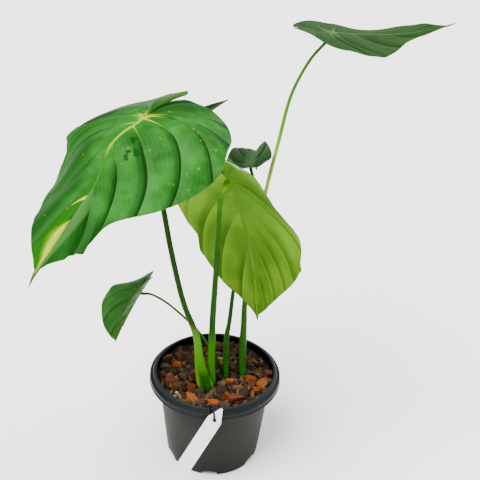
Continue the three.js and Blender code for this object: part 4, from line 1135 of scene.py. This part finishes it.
# Chips that show by themselves in the picture: [x, y, length, breadth, height, turn, colour]
SHOWN_CHIPS = [
    [-55, 27, 12, 9, 9, 8, "5a3c1d"], [-49, 42, 6, 5, 6, 40, "442413"],
    [-42, 45, 7, 6, 7, 80, "4a2510"],
    [-34, 38, 5, 4, 4, 15, "55250f"], [-43, 19, 8, 6, 6, 20, "864502"],
    [-55, 13, 9, 8, 6, 55, "45362b"],
    [-28, 32, 11, 6, 5, 5, "664a2c"], [-24, 3, 9, 7, 7, 30, "582810"],
    [-33, 0, 10, 8, 5, 70, "3a3424"],
    [-42, -4, 6, 4, 4, 35, "84643b"], [-49, -1, 6, 5, 4, 10, "6e4b35"],
    [-56, 0, 8, 6, 6, 60, "592c13"],
    [-48, -10, 9, 7, 6, 15, "582d12"], [-39, -16, 11, 7, 6, 25, "472d17"],
    [-33, -15, 5, 4, 8, 70, "3e1509"],
    [-25, -17, 7, 6, 10, 5, "723710"], [-18, -24, 12, 8, 5, 20, "332513"],
    [-39, -27, 3.5, 3, 3, 0, "c4b78e"],
    [-23, -37, 10, 8, 7, 12, "8e450b"], [-13, -41, 10, 7, 5, 30, "4d3124"],
    [0, -43, 12, 7, 6, 10, "884000"],
    [12, -34, 6, 5, 10, 0, "7e3902"], [21, -35, 13, 9, 9, 35, "622b0c"],
    [8, -9, 9, 7, 8, 70, "564a37"],
    [16, -6, 9, 7, 6, 15, "994b00"], [39, 0, 12, 8, 7, 10, "8c4400"],
    [50, -10, 12, 8, 7, 50, "883f00"],
    [58, 7, 7, 6, 6, 20, "592a11"], [39, -12, 10, 7, 6, 60, "4e210d"],
    [44, -23, 7, 6, 5, 15, "7c3b0b"],
    [31, -26, 13, 8, 7, 50, "291913"], [20, 2, 6, 4, 5, 30, "3d1409"],
    [23, -8, 6, 5, 4, 75, "471a0c"],
    [18, 60, 8, 6, 6, 20, "633415"], [24, 56, 7, 6, 5, 45, "3d2413"],
    [5, 54, 8, 5, 5, 10, "3b2111"],
    [-13, 47, 6, 5, 5, 70, "572b10"], [1, 42, 7, 5, 5, 0, "52442a"], [6, 33, 8, 6, 4, 15, "84663c"],
    [2, 15, 7, 6, 5, 60, "564834"], [-4, 35, 6, 5, 6, 40, "5c3114"],
    [46, -4, 7, 5, 4, 30, "34281c"],
]
# Thin sticks and strips of bark: [x, y, x, y, rise, width, colour]
STICKS = [[32, -4, 22, -24, 8, 1.6, "64411e"], [15, -14, 19, -25, 7, 1.4, "4e4236"],
          [37, 51, 43, 43, 9, 1.6, "322b22"], [-48, -17, -40, -25, 6, 2.0, "665036"],
          [-10, -39, 1, -19, 8, 5.0, "443b24"], [38, 32, 48, 35, 8, 4.4, "493e30"],
          [48, 35, 57, 26, 8, 4.4, "4e4133"], [57, 26, 59, 17, 7, 4.0, "45392c"],
          [-20, 55, -10, 47, 7, 1.6, "3a3226"], [29, -12, 36, -6, 7, 1.6, "433222"]]


def chip_form():
    """Faces of a box with three by three patches a side, and its points from -1 to 1
    pushed half way towards a ball, which rounds the edges."""
    t = np.linspace(-1, 1, 4)
    g = np.stack(np.meshgrid(t, t, t, indexing="ij"), -1).reshape(-1, 3)
    shell = np.abs(g).max(1) > 0.999
    number = np.cumsum(shell) - 1
    index = np.where(shell, number, -1).reshape(4, 4, 4)
    faces = []
    for axis in range(3):
        for end in (0, -1):
            side = np.take(index, end, axis)
            quads = grid_quads(side)
            faces.append(quads if (end == -1) == (axis != 1) else quads[:, ::-1])
    p = g[shell]
    ball = p / np.linalg.norm(p, axis=1, keepdims=True) * 1.25
    return p * 0.62 + ball * 0.38, triangles(np.concatenate(faces))


def chips_at(random, centres, sizes, turns, tilt):
    """Copies of the chip form: each is stretched to its size, has its corners pulled
    about by a random trilinear bend and its surface chipped, then is tipped and turned."""
    form, faces = chip_form()
    n = len(centres)
    sheared = random.normal(0, 0.2, (n, 3, 3)) * (1 - np.eye(3))
    twist = random.normal(0, 0.16, (n, 3, 3))
    p = form[None] * sizes[:, None] / 2
    bend = np.einsum("pi,pj->pij", form, form)[:, [0, 1, 2], [1, 2, 0]]
    p = p + np.einsum("pk,nkj->npj", bend, twist) * sizes[:, None] / 2
    p = p + np.einsum("npi,nij->npj", p, sheared)
    p = p + random.normal(0, 0.045, p.shape) * sizes.min(1)[:, None, None]
    centres[:, 2] -= hollow(centres[:, 0], centres[:, 1])
    ax, ay = random.normal(0, tilt, (2, n))
    for angle, (i, j) in ((ax, (1, 2)), (ay, (0, 2)), (turns, (0, 1))):
        c, s = np.cos(angle)[:, None], np.sin(angle)[:, None]
        p[..., i], p[..., j] = p[..., i] * c - p[..., j] * s, p[..., i] * s + p[..., j] * c
    p += centres[:, None]
    tris = faces[None] + (np.arange(n) * len(form))[:, None, None]
    return p.reshape(-1, 3), tris.reshape(-1, 3), len(form)


def from_stalks(x, y):
    """Distance from places in the plan to the nearest stalk where it leaves the mix."""
    lines = [centripetal(stalk["route"], 8) for stalk in STALKS.values()]
    feet = np.array([line[np.argmin(np.abs(line[:, 2] - 88))] for line in lines])
    return np.hypot(x[..., None] - feet[:, 0], y[..., None] - feet[:, 1]).min(-1)


def hollow(x, y):
    """How far the mix sinks near the stalks: a bell curve of the distance to the nearest."""
    return 8.5 * np.exp(-((from_stalks(x, y) / 9.0) ** 2))


def bark_chips(settings):
    """All loose chips: a sunflower spread of random ones in two layers, the chosen ones
    on top, and the thin sticks. Returns points, faces and a colour for each point."""
    random = np.random.default_rng(settings.seed)
    groups = []
    names, weights = zip(*BARK)
    palette = np.array([srgb(name) for name in names])
    shown = np.array([c[:2] for c in SHOWN_CHIPS])
    count = settings.chips
    for floor, mean in ((CHIP_FLOOR, 3.6), (CHIP_FLOOR + 1.6, 3.9)):
        i = np.arange(count) + 0.5
        reach = np.sqrt(i / count) * 60.5 + random.normal(0, 0.8, count)
        reach = np.minimum(reach, 58.5)
        turn = i * 2.39996 + random.normal(0, 0.15, count)
        size = mean * np.exp(random.normal(0, 0.36, count))
        sizes = np.stack([size * 1.35, size * random.uniform(0.6, 1.05, count),
                          size * random.uniform(0.4, 0.75, count)], -1)
        heap = np.where(reach > 49, 2.6, 0) * random.uniform(0.4, 1.2, count)
        z = floor + heap + random.uniform(0, 1.8, count)
        centres = np.stack([reach * np.cos(turn), reach * np.sin(turn), z], -1)
        apart = np.linalg.norm(centres[:, None, :2] - shown, axis=2).min(1)
        clear = from_stalks(centres[:, 0], centres[:, 1]) > size * 0.6 + 2.6
        keep = clear & ((apart > 4.5) | (floor == CHIP_FLOOR))
        pick = random.choice(len(BARK), count, p=np.array(weights) / sum(weights))
        shade = random.uniform(0.75, 1.2, count)[:, None]
        tint = np.clip(palette[pick] * shade, 0, 1)
        turns = random.uniform(0, 2 * np.pi, count)
        groups.append((centres[keep], sizes[keep], turns[keep], tint[keep], 0.5))
    chosen = np.array([c[:6] for c in SHOWN_CHIPS], float)
    tint = np.array([srgb(c[6]) for c in SHOWN_CHIPS])
    rise = np.where(np.hypot(chosen[:, 0], chosen[:, 1]) > 49, 2.0, 0.4)
    centres = np.column_stack([chosen[:, :2], CHIP_FLOOR + 1.2 + rise + chosen[:, 4] * 0.3])
    groups.append((centres, chosen[:, 2:5], np.radians(chosen[:, 5]), tint, 0.16))
    parts, faces, colours, start = [], [], [], 0
    for centres, sizes, turns, tint, tilt in groups:
        points, tris, each = chips_at(random, centres, sizes, turns, tilt)
        parts.append(points)
        faces.append(tris + start)
        colours.append(np.repeat(tint, each, 0))
        start += len(points)
    for x0, y0, x1, y1, rise, width, code in STICKS:
        line = np.linspace([x0, y0, BED_HEIGHT + rise - 2], [x1, y1, BED_HEIGHT + rise - 2.6], 9)
        line[:, 2] += 1.2 * np.sin(np.linspace(0, np.pi, 9))
        line[:, :2] += random.normal(0, 0.25, (9, 2))
        taper = 0.55 + 0.45 * np.sin(np.linspace(0.4, np.pi - 0.3, 9))
        points, tris = sweep(line, width / 2 * taper, 0.6 * taper, 10,
                             level=(y1 - y0, x0 - x1, 0.1))
        parts.append(points)
        faces.append(tris + start)
        colours.append(np.tile(srgb(code), (len(points), 1)))
        start += len(points)
    return np.concatenate(parts), np.concatenate(faces), np.concatenate(colours)


def bed_shape(settings):
    """The dark fine mix below the chips: a closed turned body inside the pot's wall,
    with its top raised by a sum of small waves."""
    wall = [[0, 2.35], [47.4, 2.35], [48.6, 4], [57.4, BED_HEIGHT - 3], [57.6, BED_HEIGHT]]
    rise = [[r, BED_HEIGHT] for r in np.linspace(57, 0, 60)]
    points, tris = lathe(np.array(wall + rise), 120)
    top = points[:, 2] > BED_HEIGHT - 0.01
    x, y = points[top, 0], points[top, 1]
    bumps = (np.sin(0.61 * x + 1.3 * np.sin(0.43 * y)) * np.sin(0.57 * y + 1.1 * np.sin(0.51 * x))
             + 0.5 * np.sin(1.3 * x + 2.1) * np.sin(1.17 * y + 0.7))
    points[top, 2] += 0.9 * bumps - hollow(x, y)
    return points, tris


def bark_finish():
    """Bark: each chip's own colour with dark grain along one way, pores and pale dust."""
    f = Finish("bark_chips", Roughness=0.85, Specular_IOR_Level=0.25)
    spot = f.where()
    own = f.attribute("tint", "Color")
    fibre = f.noise(f.where((1.0, 0.35, 1.6)), 0.9, 4, 0.65)
    pores = f.noise(spot, 2.2, 3)
    colour = f.blend(f.step(fibre, 0.42, 0.7, 0, 0.55), own, "150a05")
    colour = f.blend(f.step(pores, 0.56, 0.75, 0, 0.3), colour, "7c5a38")
    f.colour(colour)
    f.bump(f.maths("ADD", fibre, f.times(pores, 0.5)), 0.7, 0.9)
    return f.material


def bed_finish():
    """Dark, damp composted bark in the gaps between chips."""
    f = Finish("damp_mix", Roughness=0.9, Specular_IOR_Level=0.2)
    crumbs = f.noise(f.where(), 0.7, 5, 0.7)
    f.colour(f.blend(f.step(crumbs, 0.4, 0.7), "060403", "1a0f09"))
    f.bump(crumbs, 1.5, 1.0)
    return f.material


def rhizome_finish():
    """Knobbly brown-green creeping stem with ringed scars."""
    f = Finish("rhizome_skin", Roughness=0.8, Specular_IOR_Level=0.3)
    rings = f.noise(f.where((1, 0.2, 0.2)), 0.5, 3)
    fleck = f.noise(f.where(), 0.8, 3)
    colour = f.blend(f.step(rings, 0.4, 0.65), "7a6a44", "55502c")
    f.colour(f.blend(f.step(fleck, 0.55, 0.75, 0, 0.6), colour, "a8895a"))
    f.bump(f.maths("ADD", rings, fleck), 0.5, 0.7)
    return f.material


LABEL_TIP = np.array([8.1, -71, 109.6])
LABEL_END = np.array([-27.5, -88, 48.6])
LABEL_FACING = np.array([0, -0.83, 0.56])
LABEL_SHOULDER = 14.1


def label_axes():
    """Across, along and facing directions of the label, its length and its hole's centre."""
    along = unit(LABEL_TIP - LABEL_END)
    across = unit(np.cross(along, LABEL_FACING))
    facing = np.cross(across, along)
    return across, along, facing, np.linalg.norm(LABEL_TIP - LABEL_END), LABEL_TIP - along * LABEL_SHOULDER


def label_shape(settings):
    """Stake label: about the hole's centre, rays at every angle run from the hole to the
    straight sides; the section along a ray is a flat strip with small round edges."""
    across, along, facing, length, hole = label_axes()
    half, thick = settings.width / MM / 2, settings.thickness / MM / 2
    below = -(length - LABEL_SHOULDER)
    corners = np.array([[-half, below], [half, below], [half, 0], [1, LABEL_SHOULDER],
                        [-1, LABEL_SHOULDER],
                        [-half, 0]])
    angles = np.arctan2(corners[:, 1], corners[:, 0])
    turn = np.unique(np.concatenate([np.linspace(-np.pi, np.pi, 97)[:-1], angles]))
    ray = np.stack([np.cos(turn), np.sin(turn)], -1)
    ahead = np.roll(corners, -1, 0) - corners
    normal = np.stack([ahead[:, 1], -ahead[:, 0]], -1)
    reach = np.einsum("ij,ij->i", normal, corners)
    speed = ray @ normal.T
    far = np.min(np.where(speed > 1e-9, reach / np.where(speed > 1e-9, speed, 1), 1e9), 1)
    r, bevel = settings.hole / MM, 0.18
    radii = [np.full_like(far, r), np.full_like(far, r), far * 0 + r + bevel, far - bevel, far, far,
             far - bevel, far * 0 + r + bevel]
    level = [-thick + bevel, thick - bevel, thick, thick, thick - bevel, -thick + bevel, -thick,
             -thick]
    flat = np.stack([ray * q[:, None] for q in radii], 1)
    height = np.array(level)[None, :, None]
    sag = 0.0011 * flat[..., 1:2] ** 2 * (flat[..., 1:2] < 0)
    points = hole + flat[..., :1] * across + flat[..., 1:] * along + (height - 0.12 * sag) * facing
    index = np.arange(len(turn) * len(level)).reshape(len(turn), -1)
    return points.reshape(-1, 3), triangles(grid_quads(index, wrap_rows=True, wrap_columns=True))


def label_finish():
    """Satin white stake plastic, faintly grey and scuffed, with no writing."""
    f = Finish("label_plastic", Roughness=0.5, Specular_IOR_Level=0.35)
    cloud = f.noise(f.where(), 0.06, 3)
    scuff = f.noise(f.where((1, 1, 0.3)), 1.5, 3)
    colour = f.blend(f.step(cloud, 0.35, 0.7), "ece3e6", "dcd2d6")
    f.colour(f.blend(f.step(scuff, 0.6, 0.8, 0, 0.3), colour, "b9b4b2"))
    f.bump(scuff, 0.05, 0.4)
    return f.material


def tie_route():
    """The wire's way through the label's hole, up and over the rim and back."""
    _, _, facing, _, hole = label_axes()
    return np.array([hole + facing * 1.7, [0.6, -72.6, 103.5], [-0.6, -69.4, 107],
                     [-2.3, -65.8, 106.8],
                     [-3.8, -62.8, 105.8], [-5.2, -60.3, 103.2], [-6.2, -58.6, 98.8],
                     [-8, -58.4, 98.8],
                     [-8.2, -60.2, 103.2], [-7, -63.2, 105.8], [-5.4, -66.6, 106],
                     [-4.2, -70.2, 103],
                     [-1.6, -70.9, 99], hole - facing * 1.7])


def closed_curve(points, steps):
    """Centripetal curve through a closed ring of points."""
    p = np.concatenate([points[-2:], points, points[:3]])
    whole = centripetal(p, steps)
    return whole[2 * steps:(2 + len(points)) * steps]


def wire_finish():
    """Black coated wire with a soft shine."""
    f = Finish("tie_wire", Roughness=0.5, Specular_IOR_Level=0.2)
    worn = f.noise(f.where(), 1.0, 2)
    f.colour(f.blend(f.step(worn, 0.5, 0.8, 0, 0.4), "040404", "141312"))
    f.bump(worn, 0.05, 0.3)
    return f.material


class PotSettings(bpy.types.PropertyGroup):
    """Nursery pot."""
    sides: bpy.props.IntProperty(name="Sides", description="Facets round the pot", default=240,
                                 min=48)
    body_colour: bpy.props.FloatVectorProperty(
        name="Body colour", description="Plastic of the body", subtype="COLOR", size=4,
        min=0, max=1, default=srgb("1f1e1a"))
    collar_colour: bpy.props.FloatVectorProperty(
        name="Collar colour", description="Plastic of the collar", subtype="COLOR", size=4,
        min=0, max=1, default=srgb("101517"))


class MixSettings(bpy.types.PropertyGroup):
    """Bark mix."""
    chips: bpy.props.IntProperty(
        name="Chips", description="Random chips in each of the two layers", default=560, min=50)
    seed: bpy.props.IntProperty(name="Seed", description="Seed of the random chips", default=11)


class LeafSettings(bpy.types.PropertyGroup):
    """Leaf blades."""
    thickness: bpy.props.FloatProperty(
        name="Thickness", description="Thickness of a blade between its ribs", default=0.0006,
        unit="LENGTH")
    groove: bpy.props.FloatProperty(
        name="Groove", description="Depth of the vein grooves, as a share", default=1.0,
        subtype="FACTOR")
    quilt: bpy.props.FloatProperty(
        name="Quilt", description="Height of the pillows between veins, as a share", default=1.3,
        subtype="FACTOR")
    # Share of the painted sheen beside the veins
    sheen: bpy.props.FloatProperty(
        name="Sheen", description="Share of pale painted_sheen beside the veins", default=0.42,
        subtype="FACTOR")
    relief: bpy.props.FloatProperty(
        name="Relief", description="Height of the fine surface grain", default=0.00025,
        unit="LENGTH")


class LabelSettings(bpy.types.PropertyGroup):
    """Stake label and its wire."""
    width: bpy.props.FloatProperty(
        name="Width", description="Width of the label", default=0.015, unit="LENGTH")
    thickness: bpy.props.FloatProperty(
        name="Thickness", description="Thickness of the label", default=0.0008, unit="LENGTH")
    hole: bpy.props.FloatProperty(
        name="Hole", description="Radius of the label's hole", default=0.002, unit="LENGTH")
    wire: bpy.props.FloatProperty(
        name="Wire", description="Radius of the wire", default=0.0011, unit="LENGTH")


class StageSettings(bpy.types.PropertyGroup):
    """Floor, lights and camera."""
    floor_colour: bpy.props.FloatVectorProperty(
        name="Floor", description="Colour of the floor", subtype="COLOR", size=4,
        min=0, max=1, default=srgb("f4f4f2"))
    key: bpy.props.FloatProperty(
        name="Key light", description="Strength of the large soft light", default=8.5, min=0)
    fill: bpy.props.FloatProperty(
        name="Fill light", description="Strength of the light from the other side", default=2.5,
        min=0)
    sky: bpy.props.FloatProperty(
        name="Sky", description="Strength of the even light all round", default=1.0, min=0)


class PLANT_OT_stage(bpy.types.Operator):
    """Make the camera, the pale floor and the soft lights"""
    bl_idname = "plant.stage"
    bl_label = "Stage"

    def execute(self, context):
        settings = context.scene.plant_stage
        camera = bpy.data.cameras.new("camera")
        camera.sensor_width = 36
        camera.lens = camera.sensor_width * FOCAL / PICTURE
        camera.clip_end = 50
        viewer = bpy.data.objects.new("camera", camera)
        context.scene.collection.objects.link(viewer)
        context.scene.camera = viewer
        y, p, r, tilt = (math.radians(a) for a in (YAW, PITCH, ROLL, RISE))
        ahead = Vector((math.sin(y) * math.cos(p), math.cos(y) * math.cos(p), -math.sin(p)))
        right = Vector((math.cos(y), -math.sin(y), 0))
        above = right.cross(ahead)
        turned = right * math.cos(r) + above * math.sin(r)
        above = above * math.cos(r) - right * math.sin(r)
        axes = Matrix((turned, above, -ahead)).transposed().to_4x4()
        spot = Vector((0, -DISTANCE * math.cos(tilt), AIM + DISTANCE * math.sin(tilt)))
        viewer.matrix_world = Matrix.Translation(spot) @ axes

        span = np.linspace(-FLOOR_HALF, FLOOR_HALF, 9)
        x, y = np.meshgrid(span, span, indexing="ij")
        flat = np.stack([x, y, 0 * x], -1).reshape(-1, 3)
        index = np.arange(81).reshape(9, 9)
        floor = make_piece("floor", flat, triangles(grid_quads(index)), [floor_finish(settings)])

        self.lamp(context, "key", (-0.45, -0.3, 1.0), 45, settings.key)
        self.lamp(context, "fill", (0.9, 0.35, 0.8), 60, settings.fill)
        world = bpy.data.worlds.new("studio")
        world.use_nodes = True
        world.node_tree.nodes["Background"].inputs["Color"].default_value = (1, 1, 1, 1)
        world.node_tree.nodes["Background"].inputs["Strength"].default_value = settings.sky
        context.scene.world = world
        return {"FINISHED"}

    @staticmethod
    def lamp(context, name, towards, spread, power):
        """A far soft light seen from the plant in one direction, spread over an angle."""
        data = bpy.data.lights.new(name, "SUN")
        data.angle = math.radians(spread)
        data.energy = power
        lamp = bpy.data.objects.new(name, data)
        context.scene.collection.objects.link(lamp)
        lamp.location = Vector(towards) * 2
        lamp.rotation_euler = Vector(towards).to_track_quat("Z", "Y").to_euler()


def floor_finish(settings):
    """Plain pale floor."""
    f = Finish("floor_paint", Roughness=0.8, Specular_IOR_Level=0.2)
    cloud = f.noise(f.where(), 0.002, 2)
    pale = tuple(settings.floor_colour)
    f.colour(f.blend(f.step(cloud, 0.3, 0.7, 0, 0.3), pale, "efefed"))
    return f.material


class PLANT_OT_pot(bpy.types.Operator):
    """Turn the pot, then cut its drainage arches and hanger slots"""
    bl_idname = "plant.pot"
    bl_label = "Pot"

    def execute(self, context):
        settings = context.scene.plant_pot
        points, tris = lathe(rounded(pot_profile()), settings.sides)
        pot = make_piece("nursery_pot", points, tris, [plastic_finish(settings)])
        t = np.linspace(0, np.pi, 15)
        arch = np.column_stack([9 * np.cos(t), 1.2 + 4.8 * np.sin(t) ** 0.8])
        arch = np.concatenate([[[9, -1]], arch, [[-9, -1]]])
        tools = [cutter(f"arch_{i}", arch, 42, 56, 60 * i - 3) for i in range(6)]
        slot = [[-2, 95.1], [2, 95.1], [2, 97.7], [-2, 97.7]]
        tools += [cutter(f"slot_{i}", slot, 67, 74, 120 * i - 27) for i in range(3)]
        cut(pot, tools)
        pot.data.set_sharp_from_angle(angle=math.radians(40))
        place(pot, "pot", "pot")
        return {"FINISHED"}


class PLANT_OT_mix(bpy.types.Operator):
    """Fill the pot with the damp mix and the bark chips"""
    bl_idname = "plant.mix"
    bl_label = "Bark mix"

    def execute(self, context):
        settings = context.scene.plant_mix
        points, tris = bed_shape(settings)
        bed = make_piece("mix_bed", points, tris, [bed_finish()])
        place(bed, "bark_mix", "potting_mix")
        points, tris, tint = bark_chips(settings)
        chips = make_piece("bark_chips", points, tris, [bark_finish()], colours={"tint": tint},
                           sharp=50)
        place(chips, "bark_mix")
        return {"FINISHED"}


class PLANT_OT_rhizome(bpy.types.Operator):
    """Give the hidden rhizome and its roots their skin"""
    bl_idname = "plant.rhizome"
    bl_label = "Rhizome"

    def execute(self, context):
        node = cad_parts["rhizome"]
        node.data.materials.clear()
        node.data.materials.append(rhizome_finish())
        return {"FINISHED"}


class PLANT_OT_stalks(bpy.types.Operator):
    """Make the six leaf stalks"""
    bl_idname = "plant.stalks"
    bl_label = "Stalks"

    def execute(self, context):
        for name, stalk in STALKS.items():
            points, tris = stalk_shape(name, stalk)
            piece = make_piece(name, points, tris, [stalk_finish(name, stalk)])
            place(piece, name, stalk["node"])
        return {"FINISHED"}


class PLANT_OT_leaves(bpy.types.Operator):
    """Make the six leaf blades"""
    bl_idname = "plant.leaves"
    bl_label = "Leaves"

    def execute(self, context):
        settings = context.scene.plant_leaf
        for name, leaf in LEAVES.items():
            points, tris, kind, uv, values = build_blade(leaf, settings)
            look = LEAF_LOOKS[name]
            finishes = [upper_finish(name, leaf, look, settings),
                        under_finish(name, leaf, look, settings)]
            blade = make_piece(name + "_blade", points, tris, finishes, kind=kind, uv=uv,
                               values=values)
            place(blade, name, leaf["node"])
        return {"FINISHED"}


class PLANT_OT_label(bpy.types.Operator):
    """Make the blank stake label and the wire that hangs it on the rim"""
    bl_idname = "plant.label"
    bl_label = "Label"

    def execute(self, context):
        settings = context.scene.plant_label
        points, tris = label_shape(settings)
        label = make_piece("stake_label", points, tris, [label_finish()], sharp=30)
        place(label, "label", "plant_label")
        line = closed_curve(tie_route(), 12)
        girth = np.full(len(line), settings.wire / MM)
        points, tris = sweep(line, girth, girth, 14, level=(1, 1, 0), closed=True)
        tie = make_piece("wire_loop", points, tris, [wire_finish()])
        place(tie, "wire", "label_tie")
        return {"FINISHED"}


class PLANT_PT_parts(bpy.types.Panel):
    """Sidebar panel with every part of the plant"""
    bl_idname = "PLANT_PT_parts"
    bl_label = "Philodendron"
    bl_space_type = "VIEW_3D"
    bl_region_type = "UI"
    bl_category = "Philodendron"

    def draw(self, context):
        for group, operators in SECTIONS:
            box = self.layout.box()
            settings = getattr(context.scene, group)
            for key in settings.__annotations__:
                box.prop(settings, key)
            for operator in operators:
                box.operator(operator)


SECTIONS = [
    ("plant_stage", ["plant.stage"]),
    ("plant_pot", ["plant.pot"]),
    ("plant_mix", ["plant.mix", "plant.rhizome"]),
    ("plant_leaf", ["plant.stalks", "plant.leaves"]),
    ("plant_label", ["plant.label"]),
]
GROUPS = {
    "plant_stage": StageSettings,
    "plant_pot": PotSettings,
    "plant_mix": MixSettings,
    "plant_leaf": LeafSettings,
    "plant_label": LabelSettings,
}
CLASSES = [
    *GROUPS.values(), PLANT_OT_stage, PLANT_OT_pot, PLANT_OT_mix, PLANT_OT_rhizome,
    PLANT_OT_stalks, PLANT_OT_leaves, PLANT_OT_label, PLANT_PT_parts,
]


def register():
    for cls in CLASSES:
        bpy.utils.register_class(cls)
    for name, group in GROUPS.items():
        setattr(bpy.types.Scene, name, bpy.props.PointerProperty(type=group))


def unregister():
    for name in GROUPS:
        delattr(bpy.types.Scene, name)
    for cls in reversed(CLASSES):
        bpy.utils.unregister_class(cls)


def main():
    register()
    for _, operators in SECTIONS:
        for operator in operators:
            group, action = operator.split(".")
            getattr(getattr(bpy.ops, group), action)()


if __name__ == "__main__":
    main()
